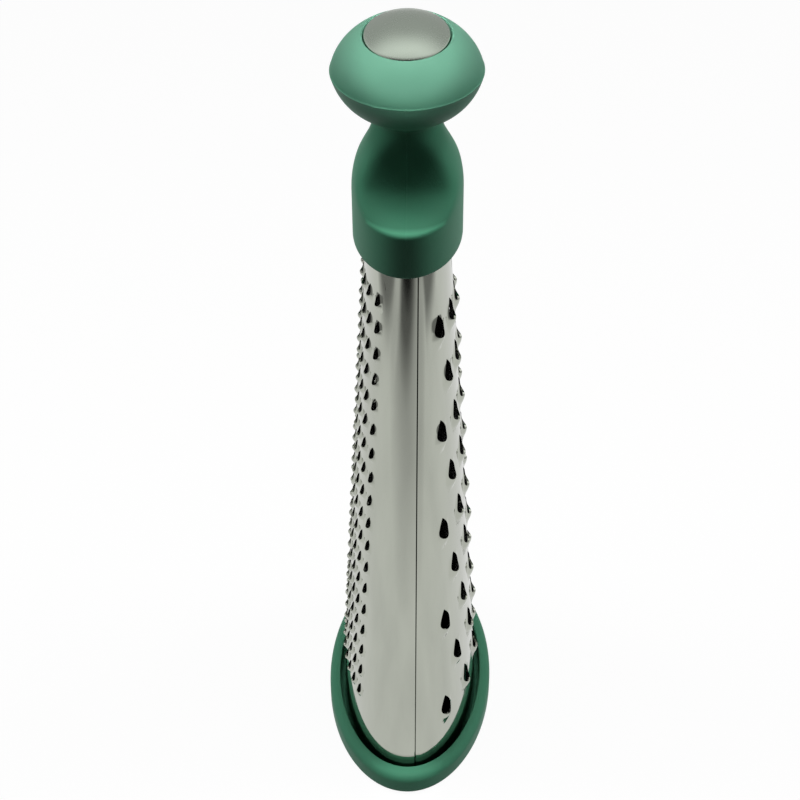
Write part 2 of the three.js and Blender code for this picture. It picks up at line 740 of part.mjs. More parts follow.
// Flat bar across the tube, with a hole for the screw in its middle and its ends in the sheet's windows.
function anchorBar() {
  const reach = sheetHalfX(BAR_Z + BAR_THICK) - SHEET_THICK / 2;
  const outline = new THREE.Shape();
  outline.moveTo(-reach, -BAR_WIDTH / 2);
  outline.lineTo(reach, -BAR_WIDTH / 2);
  outline.lineTo(reach, BAR_WIDTH / 2);
  outline.lineTo(-reach, BAR_WIDTH / 2);
  outline.closePath();
  outline.holes.push(new THREE.Path().absarc(0, 0, BORE_RADIUS, 0, TURN, true));
  const options = { depth: BAR_THICK, bevelEnabled: false, curveSegments: SCREW_SIDES };
  return new THREE.ExtrudeGeometry(outline, options).translate(0, 0, BAR_Z);
}

// Base ring: one channel section carried round the foot of the sheet. Its outside is upright, and
// the walls of its slot lean with the sheet.
function baseRing() {
  const slotInner = -PLUG_INSET;
  const inner = slotInner - RING_INNER_WALL;
  const outside = new THREE.Path();
  outside.moveTo(RING_REACH - RING_FOOT_ROUND, 0);
  outside.quadraticCurveTo(RING_REACH, 0, RING_REACH, RING_FOOT_ROUND);
  outside.lineTo(RING_REACH, RING_HEIGHT - RING_BEAD_ROUND);
  outside.quadraticCurveTo(RING_REACH, RING_HEIGHT, RING_REACH - RING_BEAD_ROUND, RING_HEIGHT);
  const slot = [
    [RING_GAP + RING_EDGE, RING_HEIGHT],
    [RING_GAP, RING_HEIGHT - RING_EDGE],
    [RING_GAP, RING_FLOOR],
    [slotInner, RING_FLOOR],
    [slotInner, RING_INNER_HEIGHT],
    [inner, RING_INNER_HEIGHT],
    [inner, 0],
  ];
  const turns = Array.from({ length: RING_SIDES }, (_, i) => (i * TURN) / RING_SIDES);
  const oval = (halfX, halfY, z) => turns.map((turn) => (
    new THREE.Vector3(halfX * Math.cos(turn), halfY * Math.sin(turn), z)
  ));
  const outerRings = outside.getPoints(RING_ROUND_STEPS).map((p) => (
    oval(SHEET_BASE_X + p.x, SHEET_BASE_Y + p.x, p.y)
  ));
  const slotRings = slot.map(([offset, z]) => oval(sheetHalfX(z) + offset, sheetHalfY(z) + offset, z));
  return loft([...outerRings, ...slotRings], true);
}

// Assembly

const steel = { color: 0xc9ccc8, roughness: 0.18, metalness: 1 };
const satin = { color: 0xb4b6b2, roughness: 0.42, metalness: 1 };
const softGreen = { color: 0x3f8f73, roughness: 0.62, metalness: 0 };
const hardPlastic = { color: 0x2c3431, roughness: 0.5, metalness: 0 };

const grater = new THREE.Group();
const addPiece = (name, geometry, finish) => {
  const mesh = new THREE.Mesh(geometry, new THREE.MeshStandardMaterial(finish));
  mesh.name = name;
  grater.add(mesh);
};

addPiece("grater_body", graterBody(), steel);
addPiece("base_ring", baseRing(), softGreen);
addPiece("handle_core", handleCore(), hardPlastic);
addPiece("handle_grip", handleGrip(), softGreen);
addPiece("anchor_bar", anchorBar(), satin);
addPiece("handle_screw", handleScrew(), satin);
addPiece("screw_washer", screwWasher(), satin);
addPiece("knob_disc", knobDisc(), satin);

export default grater;
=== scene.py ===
"""Oval box grater with a soft-gripped knob, dressed for rendering.

The packed solids are the fixed frame. The punched sheet, the grip, the base ring and the disc are
modelled again as fine meshes, and the core, bar, screw and washer inside keep their solids.
Metres, +Z up. The coarse side faces +X, the fine side -X, and the lap seam of the sheet -Y.
"""
import math

import bpy
import numpy as np
from bpy.props import FloatProperty, FloatVectorProperty, IntProperty, PointerProperty
from bpy.types import NodeSocket, Operator, Panel, PropertyGroup
from mathutils import Matrix, Vector


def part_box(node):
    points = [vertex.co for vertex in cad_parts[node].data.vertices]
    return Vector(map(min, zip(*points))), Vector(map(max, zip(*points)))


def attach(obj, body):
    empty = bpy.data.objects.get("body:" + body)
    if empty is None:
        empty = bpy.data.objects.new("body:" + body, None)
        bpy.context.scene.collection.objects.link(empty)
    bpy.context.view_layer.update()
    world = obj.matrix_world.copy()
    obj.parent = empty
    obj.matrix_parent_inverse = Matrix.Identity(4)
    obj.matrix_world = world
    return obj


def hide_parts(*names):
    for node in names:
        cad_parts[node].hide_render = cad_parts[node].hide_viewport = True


bl_info = {
    "name": "Oval box grater",
    "version": (1, 0, 0),
    "blender": (4, 5, 0),
    "location": "View3D > Sidebar > Grater",
    "description": "Builds the dressed pieces of an oval box grater and the studio round it",
    "category": "Object",
}

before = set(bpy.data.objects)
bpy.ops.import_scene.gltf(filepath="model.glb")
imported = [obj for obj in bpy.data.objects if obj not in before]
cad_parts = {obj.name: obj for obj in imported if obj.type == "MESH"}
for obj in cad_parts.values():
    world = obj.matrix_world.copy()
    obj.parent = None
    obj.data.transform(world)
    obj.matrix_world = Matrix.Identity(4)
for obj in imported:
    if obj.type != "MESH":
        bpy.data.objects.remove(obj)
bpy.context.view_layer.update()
SHEET_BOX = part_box("grater_body")
RING_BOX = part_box("base_ring")
BAR_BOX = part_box("anchor_bar")
DISC_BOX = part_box("knob_disc")

TURN = 2.0 * math.pi
FRONT = -TURN / 4.0
ARC_STEPS = 64
KNOB_STEPS = 32
SHARP_ANGLE = math.radians(48.0)

# Loops of points round a hole, as shares of the way from its edge to the border of its cell
FINE_LOOPS = (0.0, 0.09, 0.21, 0.36, 0.60)
COARSE_LOOPS = (0.0, 0.05, 0.11, 0.18, 0.27, 0.37, 0.48, 0.61, 0.78)


def length(name, description, default):
    """A length in metres."""
    return FloatProperty(
        name=name, description=description, default=default, unit="LENGTH", precision=5
    )


def angle(name, description, degrees):
    """An angle, written in degrees."""
    return FloatProperty(
        name=name, description=description, default=math.radians(degrees), subtype="ANGLE"
    )


def colour(name, description, default):
    """A linear colour."""
    return FloatVectorProperty(
        name=name, description=description, default=default, subtype="COLOR", size=3, min=0.0, max=1.0
    )


def factor(name, description, default):
    """A share from none to all."""
    return FloatProperty(
        name=name, description=description, default=default, subtype="FACTOR", min=0.0, max=1.0
    )


def power(name, description, default):
    """A lamp's power in watts."""
    return FloatProperty(name=name, description=description, default=default, unit="POWER", min=0.0)


class SheetSizes(PropertyGroup):
    """Sizes of the tapered steel tube and its lap seam"""

    base_x: length("Base half width", "Half width of the tube, carried down to the floor", 0.0222)
    base_y: length("Base half depth", "Half depth of the tube, carried down to the floor", 0.0437)
    top_x: length("Top half width", "Half width of the tube at its upper edge", 0.0110)
    top_y: length("Top half depth", "Half depth of the tube at its upper edge", 0.0198)
    bottom_z: length("Lower edge", "Height of the tube's lower edge", SHEET_BOX[0].z)
    top_z: length("Upper edge", "Height of the tube's upper edge", SHEET_BOX[1].z)
    thickness: length("Sheet thickness", "Thickness of the steel", 0.0006)
    seam_base_x: length("Seam at the base", "Place of the seam's edge at the floor", 0.0024)
    seam_top_x: length("Seam at the top", "Place of the seam's edge at the upper edge", 0.0032)
    seam_lap: length("Seam lap", "How far the sheet runs on under the seam", 0.0060)
    seam_gap: length("Seam gap", "Gap between the two layers of the seam", 0.0003)
    seam_groove: length("Seam groove", "Width of the groove beside the seam's edge", 0.00018)
    seam_step: length("Seam step", "Width of the shallow hollow beside the seam", 0.0022)
    seam_hollow: length("Seam hollow", "Depth of the shallow hollow beside the seam", 0.00022)
    window_gap: length("Window gap", "Clearance round the ends of the bar", 0.0003)


class FineTeeth(PropertyGroup):
    """Sizes of the fine teeth"""

    row_pitch: length("Row pitch", "Height from row to row", 0.00868)
    lowest_row: length("Lowest row", "Height of the lowest row's middle", 0.0272)
    rows: IntProperty(name="Rows", description="Number of rows", default=18, min=1)
    column_pitch: length("Column pitch", "Width given to each tooth", 0.00525)
    field: angle("Field angle", "Turn of the tube that the teeth take up", 107.0)
    base_lean: angle("Lean at the base", "Turn of the field's middle at the floor", -8.5)
    top_lean: angle("Lean at the top", "Turn of the field's middle at the upper edge", 11.0)
    hole_width: length("Hole width", "Widest part of the hole", 0.0023)
    hole_height: length("Hole height", "Hole from its point to its lip", 0.0036)
    lip: length("Lip", "How far the cutting lip stands proud", 0.0012)
    margin: length("Margin", "Raised metal beside the hole", 0.0008)
    drop: length("Drop", "Raised metal below the lip", 0.0026)
    across: IntProperty(name="Faces across", description="Faces along a cell's width", default=5)
    up: IntProperty(name="Faces up", description="Faces along a cell's height", default=7)


class CoarseScoops(PropertyGroup):
    """Sizes of the coarse scoops"""

    row_pitch: length("Row pitch", "Height from row to row", 0.0174)
    lowest_row: length("Lowest row", "Height of the lowest row's middle", 0.0264)
    rows: IntProperty(name="Rows", description="Number of rows", default=9, min=1)
    columns: IntProperty(name="Columns", description="Scoops in a full row", default=5, min=2)
    field: angle("Field angle", "Turn of the tube that the scoops take up", 122.0)
    base_lean: angle("Lean at the base", "Turn of the field's middle at the floor", -11.5)
    top_lean: angle("Lean at the top", "Turn of the field's middle at the upper edge", 1.5)
    hole_width: length("Hole width", "Widest part of the hole", 0.0047)
    hole_height: length("Hole height", "Hole from its point to its lip", 0.0066)
    lip: length("Lip", "How far the cutting lip stands proud", 0.0017)
    margin: length("Margin", "Raised metal beside the hole", 0.0012)
    drop: length("Drop", "Raised metal below the lip", 0.0058)
    across: IntProperty(name="Faces across", description="Faces along a cell's width", default=8)
    up: IntProperty(name="Faces up", description="Faces along a cell's height", default=16)


class GripSizes(PropertyGroup):
    """Sizes of the soft grip"""

    skirt_z: length("Skirt edge", "Height of the skirt's lower edge", 0.1854)
    skirt_x: length("Skirt half width", "Half width of the skirt", 0.0152)
    skirt_y: length("Skirt half depth", "Half depth of the skirt", 0.0234)
    skirt_edge: length("Skirt edge round", "Rounding of the skirt's lower edge", 0.0008)
    skirt_gap: length("Skirt gap", "Clearance between the skirt and the tube", 0.0003)
    ridge_z: length("Ridge height", "Height of the round ridge above the skirt", 0.2004)
    ridge_y: length("Ridge half depth", "Half depth of the ridge", 0.0245)
    ridge_round: length("Ridge round", "Rounding of the ridge", 0.0015)
    ridge_turn: angle("Ridge turn", "How far the ridge turns in", 66.0)
    crease_z: length("Crease height", "Height of the crease above the ramp", 0.2046)
    crease_y: length("Crease half depth", "Half depth at the crease", 0.0140)
    neck_foot_z: length("Neck foot height", "Height where the neck leaves the crease", 0.2068)
    neck_foot_y: length("Neck foot half depth", "Half depth where the neck leaves the crease", 0.0124)
    neck_z: length("Neck height", "Height of the neck's narrowest part", 0.2215)
    neck_radius: length("Neck radius", "Radius of the neck", 0.0090)
    neck_length: length("Neck length", "Straight part of the neck", 0.0007)
    face_drop: length("Shoulder drop", "How far below the neck the shoulder starts", 0.0117)
    round_drop: length("Shoulder round drop", "Where the shoulder turns in", 0.0092)
    round_inset: length("Shoulder round inset", "How far the shoulder turns in", 0.0043)
    rim_z: length("Rim height", "Height of the knob's rim", 0.2356)
    rim_x: length("Rim half width", "Half width of the knob", 0.0201)
    rim_y: length("Rim half depth", "Half depth of the knob", 0.0209)
    bowl_depth: length("Bowl depth", "Depth of the bowl under the rim", 0.0096)
    bowl_flare: length("Bowl flare", "How soon the bowl leaves the neck", 0.0004)
    bowl_undercut: length("Bowl undercut", "How long the neck runs on", 0.0018)
    bowl_side: length("Bowl side", "Lean of the bowl under the rim", 0.0023)
    lip_z: length("Lip height", "Height of the lip at the disc's sides", 0.24575)
    lip_tilt: length("Lip tilt", "How much higher the lip is in front, and lower behind", 0.0004)
    lip_gap: length("Lip gap", "Gap between the lip and the disc", 0.00028)
    lip_round: length("Lip round", "Rounding of the lip", 0.0004)
    dome_side: length("Dome side", "Lean of the dome above the rim", 0.0007)
    dome_side_height: length("Dome side height", "How far up the dome stays steep", 0.0040)
    dome_fullness: factor("Dome fullness", "How full the dome is", 0.55)
    dome_settle: length("Dome settle", "How much the dome falls away from the lip", 0.0018)
    bead: length("Parting bead", "Height of the parting line round the rim", 0.00006)
    bead_width: length("Bead width", "Width of the parting line round the rim", 0.00035)
    gate_mark: length("Gate mark", "Height of the moulding mark at the front of the rim", 0.00035)
    mould_line: length("Mould line", "Height of the mould line in front and behind", 0.00003)
    mould_line_width: length("Mould line width", "Width of the mould line", 0.00030)
    skin: length("Grip skin", "Thickness of the grip over its core", 0.0024)
    sides: IntProperty(name="Sides", description="Faces round the grip", default=144, min=24)


class RingSizes(PropertyGroup):
    """Sizes of the soft base ring"""

    reach: length("Reach", "How far the ring stands out from the tube", RING_BOX[1].x - 0.0222)
    height: length("Height", "Height of the ring", RING_BOX[1].z)
    foot_round: length("Foot round", "Rounding of the foot", 0.0016)
    bead_round: length("Bead round", "Rounding of the upper outer edge", 0.0024)
    edge: length("Inner edge round", "Rounding of the upper inner edge", 0.0004)
    gap: length("Slot gap", "Gap between the ring and the tube at its sides", 0.0016)
    end_gap: length("End gap", "Gap between the ring and the tube at its narrow ends", 0.0007)
    slot_floor: length("Slot floor", "Thickness under the tube", 0.0020)
    inner_height: length("Inner height", "Height of the wall inside the tube", 0.0060)
    inner_wall: length("Inner wall", "Thickness of the wall inside the tube", 0.0016)
    slot_width: length("Slot width", "From the tube's outside to the inner wall", 0.0018)
    sides: IntProperty(name="Sides", description="Faces round the ring", default=160, min=24)


class DiscSizes(PropertyGroup):
    """Sizes of the domed disc in the knob"""

    half_x: length("Half width", "Half width of the disc", DISC_BOX[1].x)
    half_y: length("Half depth", "Half depth of the disc", 0.0138)
    seat_z: length("Seat", "Height that the disc rests at", DISC_BOX[0].z)
    edge_z: length("Edge", "Height of the disc's turned-down edge", 0.2461)
    dome: length("Dome", "Rise of the dome", 0.0022)
    edge_round: length("Edge round", "Rounding of the disc's edge", 0.0007)
    thickness: length("Thickness", "Thickness of the disc", 0.0009)
    sides: IntProperty(name="Sides", description="Faces round the disc", default=128, min=24)


class Finishes(PropertyGroup):
    """Colours and gloss of the pieces"""

    steel: colour("Polished steel", "Colour of the punched sheet", (0.485, 0.507, 0.442))
    satin: colour("Satin steel", "Colour of the disc", (0.470, 0.535, 0.455))
    # Painted shade: the sheet's inside is near black, standing in for the shade inside the tube; its
    # roughness is the real unpolished finish
    inside: colour("Shaded inside steel", "Colour of the sheet's rough inside, painted near black as shade", (0.08, 0.08, 0.077))
    zinc: colour("Zinc", "Colour of the bar, screw and washer", (0.46, 0.47, 0.47))
    green: colour("Soft green", "Colour of the grip and the base ring", (0.105, 0.390, 0.235))
    # Painted sheen: a paler green for the dome and the ridge, standing in for the lamps' gloss
    sheen_green: colour("Sheen green", "Paler green painted on the dome and ridge as sheen and highlight", (0.138, 0.352, 0.243))
    core: colour("Core plastic", "Colour of the core", (0.020, 0.028, 0.025))


class StudioSettings(PropertyGroup):
    """Camera and light"""

    focal_length: FloatProperty(
        name="Focal length", description="Focal length on a 36 mm sensor", default=82.783, unit="CAMERA"
    )
    distance: length("Distance", "From the camera to the point it aims at", 0.54668)
    elevation: angle("Elevation", "How far the camera looks down", 40.0)
    aim_x: length("Aim offset", "Sideways place of the point that the camera aims at", -0.002594)
    aim_z: length("Aim height", "Height of the point that the camera aims at", 0.124145)
    yaw: angle("Yaw", "Turn of the camera round the object", 2.0225)
    roll: angle("Roll", "Tilt of the picture", -0.5157)
    overhead: power("Overhead lamp", "Power of the lamp above", 0.76)
    side: power("Side lamps", "Power of each lamp at the side", 2.6)
    spot: power("Knob spot", "Power of the narrow lamp that lights the knob from in front", 13.5)
    ring_spot: power("Ring spot", "Power of the narrow lamp that lights the front of the ring", 3.6)
    ambient: factor("Ambient", "Even light from all round", 0.010)
    pool_half: length("Pool half width", "Half width of the white floor that the steel mirrors", 0.305)
    dark_from: length("Dark from", "Where the mirrored floor starts to darken in front", -0.13)
    dark_half_way: length("Dark half way", "Where the mirrored floor darkens faster", -0.31)
    dark_to: length("Dark to", "Where the mirrored floor is darkest in front", -0.39)
    dark_x: length("Dark middle", "Sideways place of the dark stretch in front", 0.08)
    dark_half: length("Dark half width", "Half width of the dark stretch in front", 0.25)


# Shared mesh work


def unit(vectors):
    """Vectors scaled to length one."""
    return vectors / np.linalg.norm(vectors, axis=-1, keepdims=True)


def smooth_step(share):
    """An even start and stop between 0 and 1."""
    share = np.clip(share, 0.0, 1.0)
    return share * share * (3.0 - 2.0 * share)


def smooth_slope(share):
    """The slope of that step."""
    return 6.0 * share * (1.0 - share)


def blend(start, end, share):
    """A value part of the way from start to end."""
    return start + (end - start) * share


def bezier(points, steps):
    """Points along a cubic curve, without its first one."""
    a, b, c, d = (np.array(p) for p in points)
    t = np.linspace(0.0, 1.0, steps + 1)[1:, None]
    rest = 1.0 - t
    return a * rest**3 + 3.0 * b * rest**2 * t + 3.0 * c * rest * t**2 + d * t**3


def quarter(centre, start, end, radius, steps):
    """Points of a round edge between two turns about a centre, both ends included."""
    turns = np.linspace(start, end, steps + 1)
    return [(centre[0] + radius * math.cos(t), centre[1] + radius * math.sin(t)) for t in turns]


def oval_ring(turns, half_x, half_y, z):
    """Points of a level oval."""
    return np.stack([half_x * np.cos(turns), half_y * np.sin(turns), np.full_like(turns, z)], axis=1)


def make_piece(name, mesh, node, material):
    """Places a mesh as a piece that stands for a node of the frame."""
    piece = bpy.data.objects.new(name, mesh)
    bpy.context.scene.collection.objects.link(piece)
    mesh.materials.append(material)
    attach(piece, "root")
    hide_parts(node)
    return piece


def loft_mesh(name, rings, closed):
    """Skins a stack of equal rings. A closed stack joins its last ring to its first."""
    rings = np.array(rings)
    stack, sides = rings.shape[:2]
    ids = np.arange(stack * sides).reshape(stack, sides)
    lower = ids if closed else ids[:-1]
    upper = np.roll(ids, -1, axis=0) if closed else ids[1:]
    quads = np.stack([lower, np.roll(lower, -1, 1), np.roll(upper, -1, 1), upper], axis=-1)
    faces = quads.reshape(-1, 4).tolist()
    if not closed:
        faces += [ids[0][::-1].tolist(), ids[-1].tolist()]
    mesh = bpy.data.meshes.new(name)
    mesh.from_pydata(rings.reshape(-1, 3).tolist(), [], faces)
    mesh.shade_smooth()
    mesh.set_sharp_from_angle(angle=SHARP_ANGLE)
    return mesh


# Punched sheet


def sheet_halves(sizes, z):
    """Half width and half depth of the tube's outside at a height."""
    share = z / sizes.top_z
    return blend(sizes.base_x, sizes.top_x, share), blend(sizes.base_y, sizes.top_y, share)


def sheet_frame(sizes, turn, z):
    """Points of the tube's outside with their normals and their directions along and up the sheet."""
    half_x, half_y = sheet_halves(sizes, z)
    c, s = np.cos(turn), np.sin(turn)
    lean_x = (sizes.top_x - sizes.base_x) / sizes.top_z
    lean_y = (sizes.top_y - sizes.base_y) / sizes.top_z
    rise = -c * c * lean_x / half_x - s * s * lean_y / half_y
    point = np.stack([half_x * c, half_y * s, z], axis=-1)
    normal = unit(np.stack([c / half_x, s / half_y, rise], axis=-1))
    along = unit(np.stack([-half_x * s, half_y * c, np.zeros_like(z)], axis=-1))
    return point, normal, along, np.cross(normal, along)


class PunchedField:
    """One punched side of the tube: places across it are shares of its arc length.

    Its columns lean round the tube, up to the plain band with the window for the bar.
    """

    TOP_BAND = 0.0185
    BAR_CLEARANCE = 0.0005
    PLAIN_FROM = SHEET_BOX[1].z - TOP_BAND
    PLAIN_TO = BAR_BOX[0].z - BAR_CLEARANCE

    def __init__(self, sizes, middle, teeth):
        self.sizes = sizes
        self.middle = middle
        self.teeth = teeth

    def turns(self, z):
        """Even turns across the field at each height."""
        lean = blend(self.teeth.base_lean, self.teeth.top_lean, z / self.sizes.top_z)
        plain = smooth_step((z - self.PLAIN_FROM) / (self.PLAIN_TO - self.PLAIN_FROM))
        shares = np.linspace(-0.5, 0.5, ARC_STEPS + 1)
        return self.middle + (lean * (1.0 - plain))[:, None] + shares * self.teeth.field

    def arcs(self, z):
        """Arc lengths from the field's first edge to those turns."""
        half_x, half_y = sheet_halves(self.sizes, z[:, None])
        turns = self.turns(z)
        across = np.diff(half_x * np.cos(turns), axis=1)
        deep = np.diff(half_y * np.sin(turns), axis=1)
        return np.concatenate([np.zeros((len(z), 1)), np.hypot(across, deep).cumsum(axis=1)], axis=1)

    def width(self, z):
        """Arc length across the whole field at one height."""
        return self.arcs(np.array([z]))[0, -1]

    def turn(self, share, z):
        """The turn at a share of the arc length, at each height."""
        share, z = np.broadcast_arrays(np.asarray(share, float), np.asarray(z, float))
        arcs, turns = self.arcs(z.ravel()), self.turns(z.ravel())
        target = share.ravel() * arcs[:, -1]
        step = np.clip((arcs[:, 1:] < target[:, None]).sum(axis=1), 0, ARC_STEPS - 1)
        row = np.arange(len(target))
        part = (target - arcs[row, step]) / (arcs[row, step + 1] - arcs[row, step])
        return blend(turns[row, step], turns[row, step + 1], part).reshape(share.shape)


class Tooth:
    """The form of one punched tooth, in metres across and up from the middle of its cell."""

    FULLNESS = 0.77  # half width of the bare teardrop curve
    FOOT_SHARE = 0.3  # share of its width that the raised metal keeps at its foot
    SLOPE_STEP = 1e-5

    def __init__(self, sizes, loops):
        self.sizes = sizes
        self.loops = loops

    def outline(self, turn):
        """The hole's edge, a teardrop with its point up."""
        half = self.sizes.hole_width / 2.0 / self.FULLNESS
        across = -half * np.sin(turn) * np.abs(np.sin(turn / 2.0))
        return across, self.sizes.hole_height / 2.0 * np.cos(turn)

    def lift(self, across, up):
        """How far the sheet stands proud: rising down the hole to its lip, then falling to its foot."""
        s = self.sizes
        half_height = s.hole_height / 2.0
        rise = smooth_step((half_height - up) / s.hole_height)
        left = smooth_step(1.0 + (half_height + up) / s.drop)
        half_width = (s.hole_width / 2.0 + s.margin) * blend(self.FOOT_SHARE, 1.0, left)
        side = np.clip(np.abs(across) / half_width, 0.0, 1.0)
        return s.lip * rise * left * (1.0 - side**2) ** 2

    def surface(self, across, up):
        """The lift with its slopes along and up the sheet."""
        e = self.SLOPE_STEP
        along = (self.lift(across + e, up) - self.lift(across - e, up)) / (2.0 * e)
        upward = (self.lift(across, up + e) - self.lift(across, up - e)) / (2.0 * e)
        return self.lift(across, up), along, upward


class SheetSkin:
    """The sheet's outer skin as faces over turn, height and lift, thickened at the end."""

    def __init__(self, sizes):
        self.sizes = sizes
        self.fields = []
        self.count = 0
        self.faces = []

    def add(self, turn, z, lift=0.0, slope_along=0.0, slope_up=0.0):
        """Adds points and gives their numbers."""
        parts = np.broadcast_arrays(turn, z, lift, slope_along, slope_up)
        self.fields.append(np.stack([np.ravel(part) for part in parts], axis=1))
        ids = self.count + np.arange(parts[0].size).reshape(parts[0].shape)
        self.count += parts[0].size
        return ids

    def fill_grid(self, ids):
        """Faces of a grid whose rows go up and whose columns go along the sheet."""
        corners = [ids[:-1, :-1], ids[:-1, 1:], ids[1:, 1:], ids[1:, :-1]]
        self.faces += np.stack(corners, axis=-1).reshape(-1, 4).tolist()

    def fill_ring(self, outer, inner):
        """Faces between two loops with the same number of points."""
        corners = [outer, np.roll(outer, -1), np.roll(inner, -1), inner]
        self.faces += np.stack(corners, axis=-1).tolist()

    def stitch(self, right, right_keys, left, left_keys):
        """Faces between two chains that run the same way, the first on the right of the strip."""
        i = j = 0
        while i < len(right) - 1 or j < len(left) - 1:
            left_done = j == len(left) - 1
            right_done = i == len(right) - 1
            if left_done or (not right_done and right_keys[i + 1] <= left_keys[j + 1]):
                self.faces.append([int(right[i]), int(right[i + 1]), int(left[j])])
                i += 1
            else:
                self.faces.append([int(right[i]), int(left[j + 1]), int(left[j])])
                j += 1

    def heights(self, ids):
        """Heights of points already added."""
        return np.concatenate(self.fields)[ids, 1]

    def to_mesh(self, name):
        """A closed mesh: outer skin, inner skin and a wall along every free edge."""
        turn, z, lift, slope_along, slope_up = np.concatenate(self.fields).T
        point, normal, along, up = sheet_frame(self.sizes, turn, z)
        facing = unit(normal - along * slope_along[:, None] - up * slope_up[:, None])
        outer = point + normal * lift[:, None]
        inner = point + normal * (lift - self.sizes.thickness)[:, None]
        points = np.concatenate([outer, inner])

        edges = {(a, b) for face in self.faces for a, b in zip(face, face[1:] + face[:1])}
        free = sorted((a, b) for a, b in edges if (b, a) not in edges)
        shift = self.count
        walls = [[b, a, a + shift, b + shift] for a, b in free]
        inside = [[v + shift for v in reversed(face)] for face in self.faces]

        wall = points[np.array(walls)]
        wall_facing = unit(np.cross(wall[:, 2] - wall[:, 0], wall[:, 3] - wall[:, 1]))
        normals = [facing[np.concatenate([np.array(face) for face in self.faces])]]
        normals.append(-facing[np.concatenate([np.array(face) for face in inside]) - shift])
        normals.append(np.repeat(wall_facing, 4, axis=0))

        mesh = bpy.data.meshes.new(name)
        mesh.from_pydata(points.tolist(), [], self.faces + inside + walls)
        mesh.shade_smooth()
        mesh.normals_split_custom_set(np.concatenate(normals).tolist())
        finish = np.repeat([0, 1, 0], [len(self.faces), len(inside), len(walls)])
        mesh.polygons.foreach_set("material_index", finish.astype(np.int32))
        return mesh


def chain_shares(edges, faces):
    """Shares along a row: each cell between two edges has its own number of faces."""
    parts = [np.linspace(a, b, n + 1)[:-1] for a, b, n in zip(edges, edges[1:], faces)]
    return np.concatenate([*parts, edges[-1:]])


def fill_tooth(skin, field, tooth, middle, low, high, border, shares):
    """Fills one cell round its tooth, from the hole's edge out to the border."""
    middle_z = (low + high) / 2.0
    width = field.width(middle_z)
    across = (shares - middle) * width
    up = skin.heights(border) - middle_z
    turn = np.arctan2(-across / across.max(), up / up.max()) % TURN
    hole_across, hole_up = tooth.outline(turn)
    rings = []
    for share in tooth.loops:
        a, u = blend(hole_across, across, share), blend(hole_up, up, share)
        z = middle_z + u
        rings.append(skin.add(field.turn(middle + a / width, z), z, *tooth.surface(a, u)))
    rings.append(border)
    for inner, outer in zip(rings, rings[1:]):
        skin.fill_ring(outer, inner)


def fill_row(skin, field, tooth, low, high, edges, punched):
    """Fills one row of cells. Gives its lower and upper chains and its two upright edges."""
    across, rises = tooth.sizes.across, tooth.sizes.up
    faces = [across if hole else across // 2 for hole in punched]
    shares = chain_shares(np.array(edges), faces)
    lower = skin.add(field.turn(shares, low), np.full_like(shares, low))
    upper = skin.add(field.turn(shares, high), np.full_like(shares, high))
    starts = np.concatenate([[0], np.cumsum(faces)])
    levels = np.linspace(low, high, rises + 1)[1:-1]
    lines = [
        np.concatenate([[lower[i]], skin.add(field.turn(edge, levels), levels), [upper[i]]])
        for i, edge in zip(starts, edges)
    ]
    for cell, hole in enumerate(punched):
        first, last = starts[cell], starts[cell + 1]
        left, right = lines[cell], lines[cell + 1]
        if hole:
            loop = [lower[first:last], right[:-1], upper[last:first:-1], left[:0:-1]]
            at = shares[first : last + 1]
            loop_shares = [at[:-1], np.full(rises, at[-1]), at[:0:-1], np.full(rises, at[0])]
            border, border_shares = np.concatenate(loop), np.concatenate(loop_shares)
            middle = (at[0] + at[-1]) / 2.0
            fill_tooth(skin, field, tooth, middle, low, high, border, border_shares)
        else:
            inside = shares[first + 1 : last]
            turns = field.turn(inside[None, :], levels[:, None])
            body = skin.add(turns, levels[:, None] + 0.0 * inside)
            rows = np.concatenate([[lower[first + 1 : last]], body, [upper[first + 1 : last]]])
            skin.fill_grid(np.concatenate([left[:, None], rows, right[:, None]], axis=1))
    return shares, lower, upper, lines[0], lines[-1]


def fill_band(skin, field, shares, levels, window=None):
    """Fills a plain band of the field, with a window left open between two shares and two heights."""
    turns = field.turn(shares[None, :], levels[:, None])
    ids = skin.add(turns, levels[:, None] + 0.0 * shares)
    if window is None:
        skin.fill_grid(ids)
        return ids
    left, right, low, high = window
    skin.fill_grid(ids[:, : left + 1])
    skin.fill_grid(ids[:, right:])
    skin.fill_grid(ids[: low + 1, left : right + 1])
    skin.fill_grid(ids[high:, left : right + 1])
    return ids


